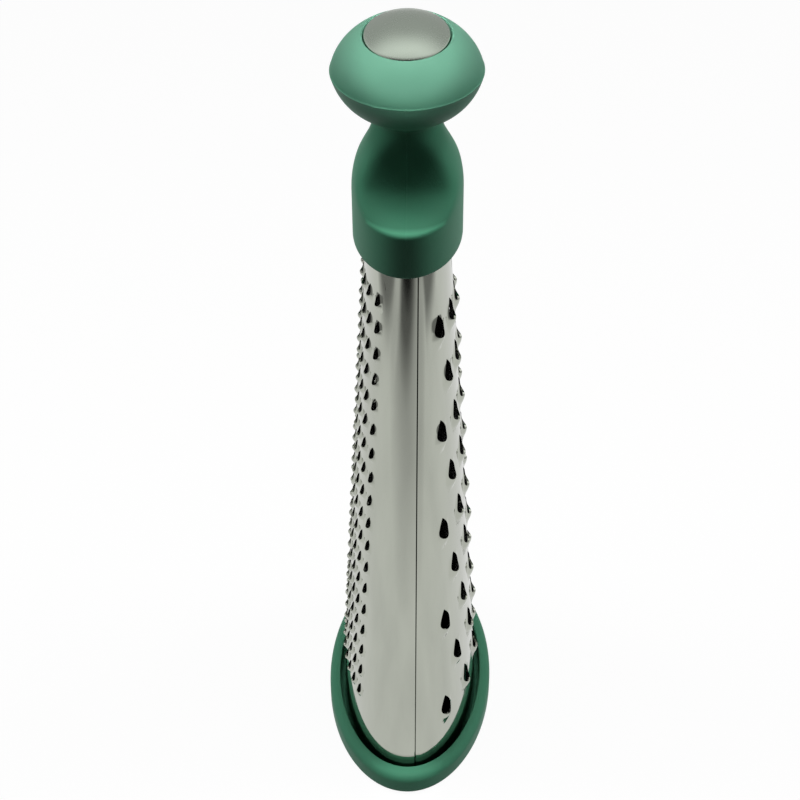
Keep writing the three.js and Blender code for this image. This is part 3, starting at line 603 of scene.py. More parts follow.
def fill_field(skin, field, tooth, rows):
    """Fills a punched side from the lower edge up, and gives its two upright edges."""
    sizes = skin.sizes
    join = 0.0004
    band_faces, low_levels, rise_levels, side_lines = 24, 6, 5, 9
    half_pitch = tooth.sizes.row_pitch / 2.0 - join
    first = tooth.sizes.lowest_row - half_pitch
    last = tooth.sizes.lowest_row + tooth.sizes.row_pitch * (len(rows) - 1) + half_pitch
    plain = np.linspace(0.0, 1.0, band_faces + 1)
    low = np.linspace(sizes.bottom_z, first - 2.0 * join, low_levels)
    below = fill_band(skin, field, plain, low)
    chains = [(plain, below[-1])]
    left, right = [below[:, 0]], [below[:, -1]]
    for i, (edges, punched) in enumerate(rows):
        middle = tooth.sizes.lowest_row + i * tooth.sizes.row_pitch
        row = fill_row(skin, field, tooth, middle - half_pitch, middle + half_pitch, edges, punched)
        shares, lower, upper, left_edge, right_edge = row
        before_shares, before = chains[-1]
        skin.stitch(before, before_shares, lower, shares)
        chains.append((shares, upper))
        left.append(left_edge)
        right.append(right_edge)

    window_low, window_high = BAR_BOX[0].z - sizes.window_gap, BAR_BOX[1].z + sizes.window_gap
    half = (BAR_BOX[1].y + sizes.window_gap) / field.width(window_low)
    side = np.linspace(0.0, 0.5 - half, side_lines)
    top_shares = np.concatenate([side, 1.0 - side[::-1]])
    rise = np.linspace(last + 2.0 * join, window_low, rise_levels)
    levels = np.concatenate([rise, [window_high, sizes.top_z]])
    window = (side_lines - 1, side_lines, rise_levels - 1, rise_levels)
    above = fill_band(skin, field, top_shares, levels, window)
    before_shares, before = chains[-1]
    skin.stitch(before, before_shares, above[0], top_shares)
    left.append(above[:, 0])
    right.append(above[:, -1])
    return np.concatenate(left), np.concatenate(right)


def fill_strip(skin, lines, levels, lifts=None, left=None, right=None):
    """Fills an upright plain strip along lines of turns, and joins it to its neighbours."""
    turns = np.stack([line(levels) for line in lines], axis=1)
    z = levels[:, None] + 0.0 * turns
    lift, slope = lifts if lifts is not None else (0.0, 0.0)
    ids = skin.add(turns, z, lift + 0.0 * turns, slope + 0.0 * turns)
    skin.fill_grid(ids)
    if left is not None:
        skin.stitch(ids[:, 0], levels, left, skin.heights(left))
    if right is not None:
        skin.stitch(right, skin.heights(right), ids[:, -1], levels)


def fine_rows(field, teeth):
    """Cells of the fine rows: as many as fit the field's width at each height."""
    rows = []
    for i in range(teeth.rows):
        columns = round(field.width(teeth.lowest_row + i * teeth.row_pitch) / teeth.column_pitch)
        rows.append((np.linspace(0.0, 1.0, columns + 1), [True] * columns))
    return rows


def coarse_rows(scoops):
    """Cells of the coarse rows: every second row is set half a cell over, with plain half cells."""
    full = np.linspace(0.0, 1.0, scoops.columns + 1)
    between = full[1:] - 0.5 / scoops.columns
    staggered = np.concatenate([[0.0], between, [1.0]])
    rows = []
    for i in range(scoops.rows):
        if i % 2:
            rows.append((staggered, [False] + [True] * (scoops.columns - 1) + [False]))
        else:
            rows.append((full, [True] * scoops.columns))
    return rows


def sheet_mesh(sizes, fine_teeth, coarse_scoops):
    """The whole punched tube with its lap seam."""
    skin = SheetSkin(sizes)
    fine = PunchedField(sizes, TURN / 2.0, fine_teeth)
    coarse = PunchedField(sizes, 0.0, coarse_scoops)
    fine_tooth = Tooth(fine_teeth, FINE_LOOPS)
    coarse_tooth = Tooth(coarse_scoops, COARSE_LOOPS)
    fine_left, fine_right = fill_field(skin, fine, fine_tooth, fine_rows(fine, fine_teeth))
    coarse_left, coarse_right = fill_field(skin, coarse, coarse_tooth, coarse_rows(coarse_scoops))

    inset = 0.02
    strip_levels, rear_lines, left_lines, right_lines = 40, 22, 18, 12
    lap_lines, groove_lines, step_lines = 5, 7, 9
    levels = np.linspace(sizes.bottom_z, sizes.top_z, strip_levels)

    def spread(start, end, count, first=inset, last=1.0 - inset):
        """Upright lines spread between two others."""
        shares = np.linspace(first, last, count)
        return [lambda z, share=share: blend(start(z), end(z), share) for share in shares]

    def at_x(offset, turns):
        """An upright line at a distance from the seam's edge, some whole turns on."""

        def line(z):
            x = blend(sizes.seam_base_x, sizes.seam_top_x, z / sizes.top_z) + offset
            return FRONT + turns * TURN + np.arcsin(x / sheet_halves(sizes, z)[0])

        return line

    rear = spread(lambda z: coarse.turn(1.0, z), lambda z: fine.turn(0.0, z), rear_lines)
    fill_strip(skin, rear, levels, left=coarse_right, right=fine_left)

    outer_edge = at_x(0.0, 1)
    front_left = spread(lambda z: fine.turn(1.0, z), outer_edge, left_lines, last=1.0)
    fill_strip(skin, front_left, levels, left=fine_right)

    deep = sizes.thickness + sizes.seam_gap - sizes.seam_hollow
    foot, groove, step = sizes.seam_gap, sizes.seam_groove, sizes.seam_step
    lap = np.linspace(-sizes.seam_lap, 0.0, lap_lines)
    hollow = np.linspace(groove, step, step_lines)[1:]
    offsets = np.concatenate([lap, foot + np.linspace(0.0, groove, groove_lines), foot + hollow])
    lift, slope = np.zeros_like(offsets), np.zeros_like(offsets)
    for depth, width in ((deep, groove), (sizes.seam_hollow, step)):
        share = np.clip((offsets - foot) / width, 0.0, 1.0)
        lift -= depth * (1.0 - smooth_step(share))
        slope += depth * smooth_slope(share) / width
    step_top = at_x(foot + step, 0)
    first = 1.0 / (right_lines + 1)
    plain = spread(step_top, lambda z: coarse.turn(0.0, z), right_lines, first=first)
    lines = [at_x(offset, 0) for offset in offsets] + plain
    lifts = (np.pad(lift, (0, len(plain))), np.pad(slope, (0, len(plain))))
    fill_strip(skin, lines, levels, lifts, right=coarse_left)
    return skin.to_mesh("punched_sheet")


# Soft grip


def grip_directions(sizes):
    """Directions round the grip, even along the skirt, with two more beside each mould line."""
    turns = np.arange(sizes.sides) * TURN / sizes.sides
    even = np.arctan2(sizes.skirt_y * np.sin(turns), sizes.skirt_x * np.cos(turns))
    beside = sizes.mould_line_width / 2.0 / sizes.skirt_y
    lines = [line + side * beside for line in (FRONT, -FRONT) for side in (-1.0, 1.0)]
    return np.sort(np.concatenate([even, lines]) % TURN)


def grip_ring(turns, z, half_x, half_y, oval_y=0.0, inset=0.0, proud=0.0):
    """A ring of the grip: an oval whose two ends may be cut back by flat faces with soft corners."""
    softness = 8
    x, y, long = half_x - inset, half_y - inset, max(oval_y, half_y) - inset
    cut = max(y**-softness - long**-softness, 0.0)
    oval = (np.cos(turns) / x) ** 2 + (np.sin(turns) / long) ** 2
    ends = cut * np.abs(np.sin(turns)) ** softness
    radius = (oval ** (softness / 2) + ends) ** (-1.0 / softness) + proud
    return np.stack([radius * np.cos(turns), radius * np.sin(turns), z + 0.0 * turns], axis=1)


def skirt_stations(s):
    """Height and half sizes up the skirt and round the ridge at its top."""
    edge_steps, wall_steps, ridge_steps = 5, 6, 10
    edge = quarter((-s.skirt_edge, s.skirt_z + s.skirt_edge), FRONT, 0.0, s.skirt_edge, edge_steps)
    stations = [(z, s.skirt_x + out, s.skirt_y + out, 0.0) for out, z in edge]
    wall_top = s.ridge_z - s.ridge_round
    for share in np.linspace(0.0, 1.0, wall_steps + 1)[1:]:
        z = blend(s.skirt_z + s.skirt_edge, wall_top, share)
        half_y = blend(s.skirt_y, s.ridge_y, share)
        stations.append((z, s.skirt_x, half_y, half_y))
    centre = (s.ridge_y - s.ridge_round, wall_top)
    ridge = quarter(centre, 0.0, s.ridge_turn, s.ridge_round, ridge_steps)
    stations += [(z, s.skirt_x, half_y, s.ridge_y) for half_y, z in ridge[1:]]
    return stations


def shoulder_stations(s, ridge):
    """From the ridge up the sloping ramp and the hollow neck."""
    ramp_steps, neck_steps, face_steps = 26, 18, 80
    ramp_hold, crease_hold, foot_run, neck_hold = 0.12, 0.3, 0.75, 0.5
    ridge_z, _, ridge_y, _ = ridge
    ridge_top = np.array([ridge_y, ridge_z])
    crease = np.array([s.crease_y, s.crease_z])
    foot = np.array([s.neck_foot_y, s.neck_foot_z])
    neck = np.array([s.neck_radius, s.neck_z])
    before, after = blend(crease, ridge_top, ramp_hold), blend(crease, foot, crease_hold)
    ramp = bezier([ridge_top, before, after, foot], ramp_steps)
    leaving = foot + foot_run * (foot - crease)
    upright = bezier([foot, leaving, (neck[0], blend(foot[1], neck[1], neck_hold)), neck], neck_steps)
    side = np.concatenate([ramp, upright])
    face = bezier(
        [
            (s.skirt_x, ridge_z),
            (s.skirt_x, s.neck_z - s.face_drop),
            (s.skirt_x - s.round_inset, s.neck_z - s.round_drop),
            (s.neck_radius, s.neck_z),
        ],
        face_steps,
    )
    face_x = np.interp(side[:, 1], face[:, 1], face[:, 0])
    settled = smooth_step((side[:, 1] - s.crease_z) / (s.neck_z - s.crease_z))
    oval_y = blend(s.ridge_y, side[:, 0], settled)
    return list(zip(side[:, 1], face_x, side[:, 0], oval_y))


def bowl_stations(s):
    """From the neck out along the bowl under the knob to its rim."""
    floor = s.rim_z - s.bowl_depth

    def curve(rim):
        """Half size and height along the bowl, out to a half size of the rim."""
        return bezier(
            [
                (s.neck_radius, s.neck_z + s.neck_length),
                (s.neck_radius + s.bowl_flare, floor - s.bowl_undercut),
                (rim - s.bowl_side, floor),
                (rim, s.rim_z),
            ],
            KNOB_STEPS,
        )

    return [(p[1], p[0], q[0], 0.0) for p, q in zip(curve(s.rim_x), curve(s.rim_y))]


def dome_rings(s, turns, lip_x, lip_y):
    """From the rim in across the dome and over the lip, which tilts a little to the rear."""
    lip_z = s.lip_z - s.lip_tilt * np.sin(turns)
    lip_steps = 4
    rounded = quarter((s.lip_round, -s.lip_round), TURN / 4.0, TURN / 2.0, s.lip_round, lip_steps)
    edge_x, edge_y = lip_x + s.lip_round, lip_y + s.lip_round
    rim = grip_ring(turns, s.rim_z, s.rim_x, s.rim_y)
    side_z = s.rim_z + s.dome_side_height
    side = grip_ring(turns, side_z, s.rim_x - s.dome_side, s.rim_y - s.dome_side)
    full_x, full_y = blend(edge_x, s.rim_x, s.dome_fullness), blend(edge_y, s.rim_y, s.dome_fullness)
    full = grip_ring(turns, lip_z - s.dome_settle, full_x, full_y)
    edge = grip_ring(turns, lip_z, edge_x, edge_y)
    curve = bezier([ring.ravel() for ring in (rim, side, full, edge)], KNOB_STEPS)
    rings = list(curve.reshape(-1, len(turns), 3))
    rings += [grip_ring(turns, lip_z + z, lip_x + out, lip_y + out) for out, z in rounded[1:]]
    return rings


def grip_mesh(sizes, sheet, disc):
    """The grip as one closed skin, hollow for its core and open for the disc."""
    turns = grip_directions(sizes)
    on_line = np.isclose(np.abs(np.sin(turns)), 1.0, atol=1e-9)
    at_gate = on_line & (np.sin(turns) < 0.0)
    lip_x, lip_y = disc.half_x + sizes.lip_gap, disc.half_y + sizes.lip_gap
    skirt = skirt_stations(sizes)
    shoulder = shoulder_stations(sizes, skirt[-1])
    bowl = bowl_stations(sizes)
    line = sizes.mould_line * on_line
    rings = [grip_ring(turns, *station, proud=line) for station in skirt + shoulder + bowl]
    bead = sizes.bead + sizes.gate_mark * at_gate
    bead_shares = (0.25, 0.75)
    for share in bead_shares:
        z = sizes.rim_z + share * sizes.bead_width
        rings.append(grip_ring(turns, z, sizes.rim_x, sizes.rim_y, proud=bead))
    rings += dome_rings(sizes, turns, lip_x, lip_y)
    rings.append(grip_ring(turns, disc.seat_z, lip_x, lip_y))

    # The hidden inside follows fewer stations
    core = shoulder[4::6] + bowl[2::7]
    inner = [grip_ring(turns, *station, inset=sizes.skin) for station in reversed(core)]
    rings.append(grip_ring(turns, disc.seat_z, sizes.rim_x, sizes.rim_y, inset=2.0 * sizes.skin))
    rings += inner
    rings.append(grip_ring(turns, sheet.top_z, sizes.skirt_x, sizes.ridge_y, inset=sizes.skin))
    for z in (sheet.top_z, sizes.skirt_z):
        half_x, half_y = sheet_halves(sheet, z)
        rings.append(grip_ring(turns, z, half_x + sizes.skirt_gap, half_y + sizes.skirt_gap))
    return loft_mesh("soft_grip", rings, True)


# Base ring and disc


def ring_mesh(sizes, sheet):
    """The base ring: one channel section carried round the foot of the tube."""
    turns = np.arange(sizes.sides) * TURN / sizes.sides
    foot_steps, bead_steps, edge_steps = 6, 12, 6
    foot, bead = sizes.foot_round, sizes.bead_round
    outside = quarter((sizes.reach - foot, foot), FRONT, 0.0, foot, foot_steps)
    outside += quarter((sizes.reach - bead, sizes.height - bead), 0.0, TURN / 4.0, bead, bead_steps)
    edge = (sizes.gap + sizes.edge, sizes.height - sizes.edge)
    slot = quarter(edge, TURN / 4.0, TURN / 2.0, sizes.edge, edge_steps)
    slot += [
        (sizes.gap, sizes.slot_floor),
        (-sizes.slot_width, sizes.slot_floor),
        (-sizes.slot_width, sizes.inner_height),
        (-sizes.slot_width - sizes.inner_wall, sizes.inner_height),
        (-sizes.slot_width - sizes.inner_wall, 0.0),
    ]
    rings = [oval_ring(turns, sheet.base_x + out, sheet.base_y + out, z) for out, z in outside]
    for out, z in slot:
        half_x, half_y = sheet_halves(sheet, z)
        narrower = sizes.gap - sizes.end_gap if out > 0.0 else 0.0
        rings.append(oval_ring(turns, half_x + out, half_y + out - narrower, z))
    return loft_mesh("soft_base_ring", rings, True)


def disc_mesh(sizes):
    """The disc: a shallow pressed cup whose edge turns down to rest on the core."""
    turns = np.arange(sizes.sides) * TURN / sizes.sides
    round_z = sizes.edge_z - sizes.edge_round

    def oval(inset, share, z):
        """A share of the disc's oval, drawn in by an inset."""
        return oval_ring(turns, (sizes.half_x - inset) * share, (sizes.half_y - inset) * share, z)

    dome_steps, under_skip, edge_steps = 24, 4, 6
    fall = 2.4
    shares = np.linspace(1.0, 0.0, dome_steps + 1)[:-1]
    slope = fall * sizes.dome / sizes.half_x
    rings = []
    for share in shares[::-under_skip]:
        under = sizes.edge_z - sizes.thickness + sizes.dome * (1.0 - share**fall)
        rings.append(oval(sizes.thickness, share, under))
    rings += [oval(sizes.thickness, 1.0, sizes.seat_z), oval(0.0, 1.0, sizes.seat_z)]
    centre = (-sizes.edge_round, round_z)
    turn_in = quarter(centre, 0.0, TURN / 4.0 - slope, sizes.edge_round, edge_steps)
    rings += [oval(-out, 1.0, z) for out, z in turn_in]
    last_out, last_z = turn_in[-1]
    for share in shares[1:]:
        rings.append(oval(-last_out, share, last_z + sizes.dome * (1.0 - share**fall)))
    return loft_mesh("satin_disc", rings, False)


# Materials


def add_node(tree, kind, inputs=None, **settings):
    """A node with its settings, its values and the sockets that feed it."""
    node = tree.nodes.new(kind)
    for name, value in settings.items():
        setattr(node, name, value)
    for name, value in (inputs or {}).items():
        if isinstance(value, NodeSocket):
            tree.links.new(value, node.inputs[name])
        else:
            node.inputs[name].default_value = value
    return node


def add_math(tree, operation, first, second):
    """The result of a sum on two values or sockets."""
    return add_node(tree, "ShaderNodeMath", {0: first, 1: second}, operation=operation).outputs[0]


def add_range(tree, value, low, high, to_low, to_high):
    """A value carried over from one range to another, held inside it."""
    inputs = {"Value": value, "From Min": low, "From Max": high, "To Min": to_low, "To Max": to_high}
    return add_node(tree, "ShaderNodeMapRange", inputs).outputs["Result"]


def add_size(tree, value):
    """A value without its sign."""
    return add_node(tree, "ShaderNodeMath", {0: value}, operation="ABSOLUTE").outputs[0]


def add_stretch(tree, vector, scale):
    """A vector scaled along each axis."""
    inputs = {0: vector, 1: scale}
    return add_node(tree, "ShaderNodeVectorMath", inputs, operation="MULTIPLY").outputs[0]


def add_shade(tree, base, brightness):
    """A colour made brighter or darker."""
    inputs = {0: base, "Scale": brightness}
    return add_node(tree, "ShaderNodeVectorMath", inputs, operation="SCALE").outputs[0]


def add_noise(tree, vector, scale, detail):
    """An even noise from 0 to 1."""
    inputs = {"Vector": vector, "Scale": scale, "Detail": detail}
    return add_node(tree, "ShaderNodeTexNoise", inputs).outputs["Fac"]


def add_mix(tree, share, first, second):
    """A colour between two colours."""
    node = add_node(tree, "ShaderNodeMix", data_type="RGBA")
    for index, value in ((0, share), (6, first), (7, second)):
        if isinstance(value, NodeSocket):
            tree.links.new(value, node.inputs[index])
        else:
            node.inputs[index].default_value = value
    return node.outputs[2]


def new_group(name, inputs, outputs):
    """An empty node group with named sockets: the group, its inputs and its output node."""
    group = bpy.data.node_groups.new(name, "ShaderNodeTree")
    for socket, kind, value in inputs:
        made = group.interface.new_socket(socket, in_out="INPUT", socket_type=kind)
        made.default_value = value
    for socket, kind in outputs:
        group.interface.new_socket(socket, in_out="OUTPUT", socket_type=kind)
    return group, group.nodes.new("NodeGroupInput").outputs, group.nodes.new("NodeGroupOutput")


def moulded_grain():
    """Fine moulded grain with broad handling marks, for plastics."""
    name = "Moulded grain"
    if name in bpy.data.node_groups:
        return bpy.data.node_groups[name]
    group, given, result = new_group(
        name,
        [
            ("Base", "NodeSocketColor", (0.5, 0.5, 0.5, 1.0)),
            ("Roughness", "NodeSocketFloat", 0.5),
            ("Grain Scale", "NodeSocketFloat", 2500.0),
            ("Mottle", "NodeSocketFloat", 0.1),
        ],
        [("Color", "NodeSocketColor"), ("Roughness", "NodeSocketFloat"), ("Height", "NodeSocketFloat")],
    )
    mark_scale, speck_scale = 90.0, 900.0
    speck_from, speck_to = 0.80, 0.84
    dust, dust_share = (0.30, 0.38, 0.33, 1.0), 0.35
    rough_share = 0.8
    place = add_node(group, "ShaderNodeTexCoord").outputs["Object"]
    grain = add_noise(group, place, given["Grain Scale"], 2.0)
    marks = add_math(group, "SUBTRACT", add_noise(group, place, mark_scale, 3.0), 0.5)
    specks = add_noise(group, place, speck_scale, 1.0)
    dusty = add_range(group, specks, speck_from, speck_to, 0.0, dust_share)
    spread = add_math(group, "MULTIPLY", marks, given["Mottle"])
    shade = add_shade(group, given["Base"], add_math(group, "ADD", spread, 1.0))
    dusted = add_mix(group, dusty, shade, dust)
    uneven = add_math(group, "MULTIPLY", spread, rough_share)
    rough = add_math(group, "ADD", given["Roughness"], uneven)
    group.links.new(dusted, result.inputs["Color"])
    group.links.new(rough, result.inputs["Roughness"])
    group.links.new(grain, result.inputs["Height"])
    return group


def rolled_metal():
    """Upright rolling lines, fine grain and broad smudges, for metals, with painted shade below a
    height.
    """
    name = "Rolled metal"
    if name in bpy.data.node_groups:
        return bpy.data.node_groups[name]
    group, given, result = new_group(
        name,
        [
            ("Base", "NodeSocketColor", (0.5, 0.5, 0.5, 1.0)),
            ("Roughness", "NodeSocketFloat", 0.2),
            ("Stretch", "NodeSocketVector", (1.0, 1.0, 1.0)),
            ("Line Scale", "NodeSocketFloat", 1500.0),
            ("Smudge", "NodeSocketFloat", 0.1),
            ("Shaded Below", "NodeSocketFloat", 0.0),
        ],
        [("Color", "NodeSocketColor"), ("Roughness", "NodeSocketFloat"), ("Height", "NodeSocketFloat")],
    )
    upright, smudge_scale = (1.0, 1.0, 0.2), 120.0
    line_share = 0.08
    # Painted shade: darker below a height, where the sheet mirrors the shaded inside of the ring
    shade_from, shade_to, painted_shade = -0.002, 0.0005, 0.35
    place = add_node(group, "ShaderNodeTexCoord").outputs["Object"]
    lines = add_noise(group, add_stretch(group, place, given["Stretch"]), given["Line Scale"], 3.0)
    broad = add_noise(group, add_stretch(group, place, upright), smudge_scale, 3.0)
    smudge = add_math(group, "MULTIPLY", add_math(group, "SUBTRACT", broad, 0.5), given["Smudge"])
    line_rough = add_math(group, "MULTIPLY", add_math(group, "SUBTRACT", lines, 0.5), line_share)
    rough = add_math(group, "ADD", given["Roughness"], add_math(group, "ADD", smudge, line_rough))
    height = add_node(group, "ShaderNodeSeparateXYZ", {0: place}).outputs["Z"]
    above = add_math(group, "SUBTRACT", height, given["Shaded Below"])
    unshaded = add_range(group, above, shade_from, shade_to, painted_shade, 1.0)
    bright = add_math(group, "MULTIPLY", add_math(group, "SUBTRACT", 1.0, smudge), unshaded)
    shade = add_shade(group, given["Base"], bright)
    group.links.new(shade, result.inputs["Color"])
    group.links.new(rough, result.inputs["Roughness"])
    group.links.new(lines, result.inputs["Height"])
    return group


def painted_sheen():
    """Painted sheen on a paler dome and a painted highlight along the ridge, in place of the lamps'
    gloss on the rubber.
    """
    base = ("Base", "NodeSocketColor", (0.5, 0.5, 0.5, 1.0))
    sheen = ("Sheen Colour", "NodeSocketColor", (0.5, 0.5, 0.5, 1.0))
    group, given, result = new_group("Hand wear", [base, sheen], [("Color", "NodeSocketColor")])
    # The dome's painted sheen fades in above its rim; the ridge's painted highlight is a thin band at
    # its front and back ends
    dome_from, dome_to = 0.230, 0.240
    ridge_low, ridge_high, ridge_edge = 0.1999, 0.2004, 0.0006
    end_from, end_to = 0.017, 0.020
    ridge_highlight_gain = 0.5
    place = add_node(group, "ShaderNodeTexCoord").outputs["Object"]
    along = add_node(group, "ShaderNodeSeparateXYZ", {0: place}).outputs
    dome = add_range(group, along["Z"], dome_from, dome_to, 0.0, 1.0)
    under = add_range(group, along["Z"], ridge_low - ridge_edge, ridge_low, 0.0, ridge_highlight_gain)
    over = add_range(group, along["Z"], ridge_high, ridge_high + ridge_edge, ridge_highlight_gain, 0.0)
    end = add_range(group, add_size(group, along["Y"]), end_from, end_to, 0.0, 1.0)
    ridge = add_math(group, "MINIMUM", add_math(group, "MINIMUM", under, over), end)
    mixed = add_mix(group, dome, given["Base"], given["Sheen Colour"])
    # Brightens the ridge band as a painted highlight
    shade = add_shade(group, mixed, add_math(group, "ADD", 1.0, ridge))
    group.links.new(shade, result.inputs["Color"])
    return group


def new_material(name):
    """An empty material: its tree and its main shader."""
    material = bpy.data.materials.new(name)
    material.use_nodes = True
    return material, material.node_tree, material.node_tree.nodes["Principled BSDF"]


def dress(material, group, values, strength, distance):
    """Feeds a material's shader from an effect group, and gives the group's node."""
    tree = material.node_tree
    shader = tree.nodes["Principled BSDF"]
    effect = add_node(tree, "ShaderNodeGroup", node_tree=group)
    for name, value in values.items():
        effect.inputs[name].default_value = value
    tree.links.new(effect.outputs["Color"], shader.inputs["Base Color"])
    tree.links.new(effect.outputs["Roughness"], shader.inputs["Roughness"])
    inputs = {"Height": effect.outputs["Height"], "Strength": strength, "Distance": distance}
    bump = add_node(tree, "ShaderNodeBump", inputs)
    tree.links.new(bump.outputs["Normal"], shader.inputs["Normal"])
    return effect


def metal_material(name, base, roughness, stretch, line_scale, smudge, strength, shaded_below=-1.0):
    """A steel or zinc finish, with painted shade below a height."""
    line_depth = 0.00002
    material, _, shader = new_material(name)
    shader.inputs["Metallic"].default_value = 1.0
    values = {
        "Base": (*base, 1.0),
        "Roughness": roughness,
        "Stretch": stretch,
        "Line Scale": line_scale,
        "Smudge": smudge,
        "Shaded Below": shaded_below,
    }
    dress(material, rolled_metal(), values, strength, line_depth)
    return material


def plastic_material(name, base, roughness, grain_scale, mottle, strength):
    """A moulded plastic or rubber finish, with the node of its effect."""
    grain_depth = 0.00005
    material, _, shader = new_material(name)
    shader.inputs["Specular IOR Level"].default_value = 0.25
    values = {
        "Base": (*base, 1.0),
        "Roughness": roughness,
        "Grain Scale": grain_scale,
        "Mottle": mottle,
    }
    return material, dress(material, moulded_grain(), values, strength, grain_depth)


def soft_green(finishes):
    """The green of the grip and the ring, made once."""
    name = "Soft green rubber"
    if name not in bpy.data.materials:
        material, effect = plastic_material(
            name, finishes.green, roughness=0.52, grain_scale=2600.0, mottle=0.12, strength=0.25
        )
        tree = material.node_tree
        # Painted sheen on the dome and a painted highlight on the ridge
        sheen = add_node(tree, "ShaderNodeGroup", node_tree=painted_sheen())
        sheen.inputs["Base"].default_value = (*finishes.green, 1.0)
        sheen.inputs["Sheen Colour"].default_value = (*finishes.sheen_green, 1.0)
        tree.links.new(sheen.outputs["Color"], effect.inputs["Base"])
    return bpy.data.materials[name]


# Operators


class GRATER_OT_sheet(Operator):
    """Build the punched steel tube"""

    bl_idname = "grater.sheet"
    bl_label = "Punched sheet"

    def execute(self, context):
        scene = context.scene
        finishes = scene.grater_finishes
        mesh = sheet_mesh(scene.grater_sheet, scene.grater_fine, scene.grater_coarse)
        rolled = {"stretch": (1.0, 1.0, 0.02), "line_scale": 1800.0, "strength": 0.05}
        # The polished steel is painted darker at its foot, as shade in its reflection of the ring
        steel = metal_material(
            "Polished sheet steel", finishes.steel, 0.06, smudge=0.30, shaded_below=0.0115, **rolled
        )
        # The inside is rougher, and painted near black as the shade inside the tube
        shaded_inner = metal_material("Sheet steel shaded inside", finishes.inside, 0.55, smudge=0.06, **rolled)
        make_piece("punched_sheet", mesh, "grater_body", steel)
        mesh.materials.append(shaded_inner)
        return {"FINISHED"}


class GRATER_OT_grip(Operator):
    """Build the soft grip with its skirt, neck and knob"""

    bl_idname = "grater.grip"
    bl_label = "Soft grip"

    def execute(self, context):
        scene = context.scene
        mesh = grip_mesh(scene.grater_grip, scene.grater_sheet, scene.grater_disc)
        make_piece("soft_grip", mesh, "handle_grip", soft_green(scene.grater_finishes))
        return {"FINISHED"}


class GRATER_OT_ring(Operator):
    """Build the soft base ring"""

    bl_idname = "grater.ring"
    bl_label = "Base ring"

    def execute(self, context):
        scene = context.scene
        mesh = ring_mesh(scene.grater_ring, scene.grater_sheet)
        make_piece("soft_base_ring", mesh, "base_ring", soft_green(scene.grater_finishes))
        return {"FINISHED"}


class GRATER_OT_disc(Operator):
    """Build the domed disc in the knob"""

    bl_idname = "grater.disc"
    bl_label = "Knob disc"

    def execute(self, context):
        scene = context.scene
        satin = metal_material(
            "Satin disc steel",
            scene.grater_finishes.satin,
            roughness=0.26,
            stretch=(1.0, 1.0, 1.0),
            line_scale=4200.0,
            smudge=0.05,
            strength=0.03,
        )
        make_piece("satin_disc", disc_mesh(scene.grater_disc), "knob_disc", satin)
        return {"FINISHED"}


class GRATER_OT_fastening(Operator):
    """Finish the core, the bar, the screw and the washer inside"""

    bl_idname = "grater.fastening"
    bl_label = "Core and fastening"

    def execute(self, context):
        finishes = context.scene.grater_finishes
        core, _ = plastic_material(
            "Hard moulded core",
            finishes.core,
            roughness=0.45,
            grain_scale=1800.0,
            mottle=0.10,
            strength=0.15,
        )
        zinc = metal_material(
            "Zinc fastening",
            finishes.zinc,
            roughness=0.36,
            stretch=(1.0, 1.0, 1.0),
            line_scale=2400.0,
            smudge=0.10,
            strength=0.15,
        )
        for node, material in (
            ("handle_core", core),
            ("anchor_bar", zinc),
            ("handle_screw", zinc),
            ("screw_washer", zinc),
        ):
            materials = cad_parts[node].data.materials
            materials.clear()
            materials.append(material)
        return {"FINISHED"}


def aim(location, target):
    """A placing that looks from one point at another."""
    location, target = Vector(location), Vector(target)
    turn = (target - location).to_track_quat("-Z", "Y")
    return Matrix.LocRotScale(location, turn, None)


def add_lamp(name, kind, place, energy, **settings):
    """A lamp with its power, its shape and its place, left out of gloss."""
    light = bpy.data.lights.new(name, kind)
    light.energy = energy
    for setting, value in settings.items():
        setattr(light, setting, value)
    lamp = bpy.data.objects.new(name, light)
    lamp.matrix_world = place
    lamp.visible_glossy = False
    bpy.context.scene.collection.objects.link(lamp)


def add_camera(studio):
    """The camera at the photograph's viewing angle."""
    camera = bpy.data.cameras.new("Camera")
    camera.sensor_width = 36.0
    camera.lens = studio.focal_length
    camera.clip_start = 0.01
    around = Matrix.Rotation(studio.yaw, 3, "Z")
    ahead = around @ Vector((0.0, math.cos(studio.elevation), -math.sin(studio.elevation)))
    right = around @ Vector((1.0, 0.0, 0.0))
    down = ahead.cross(right)
    c, s = math.cos(studio.roll), math.sin(studio.roll)
    image_right = right * c - down * s
    image_down = right * s + down * c
    target = around @ Vector((studio.aim_x, 0.0, 0.0)) + Vector((0.0, 0.0, studio.aim_z))
    place = target - ahead * studio.distance
    turn = Matrix((image_right, -image_down, -ahead)).transposed()
    eye = bpy.data.objects.new("Camera", camera)
    eye.matrix_world = Matrix.LocRotScale(place, turn.to_quaternion(), None)
    bpy.context.scene.collection.objects.link(eye)
    bpy.context.scene.camera = eye


def seen_light(tree, camera, mirrored):
    """A strength for camera rays and another for the rays that metal and glass send out."""
    rays = add_node(tree, "ShaderNodeLightPath").outputs
    sent_out = add_math(tree, "MAXIMUM", rays["Is Glossy Ray"], rays["Is Transmission Ray"])
    seen = add_math(tree, "MULTIPLY", rays["Is Camera Ray"], camera)
    return add_math(tree, "ADD", seen, add_math(tree, "MULTIPLY", sent_out, mirrored))


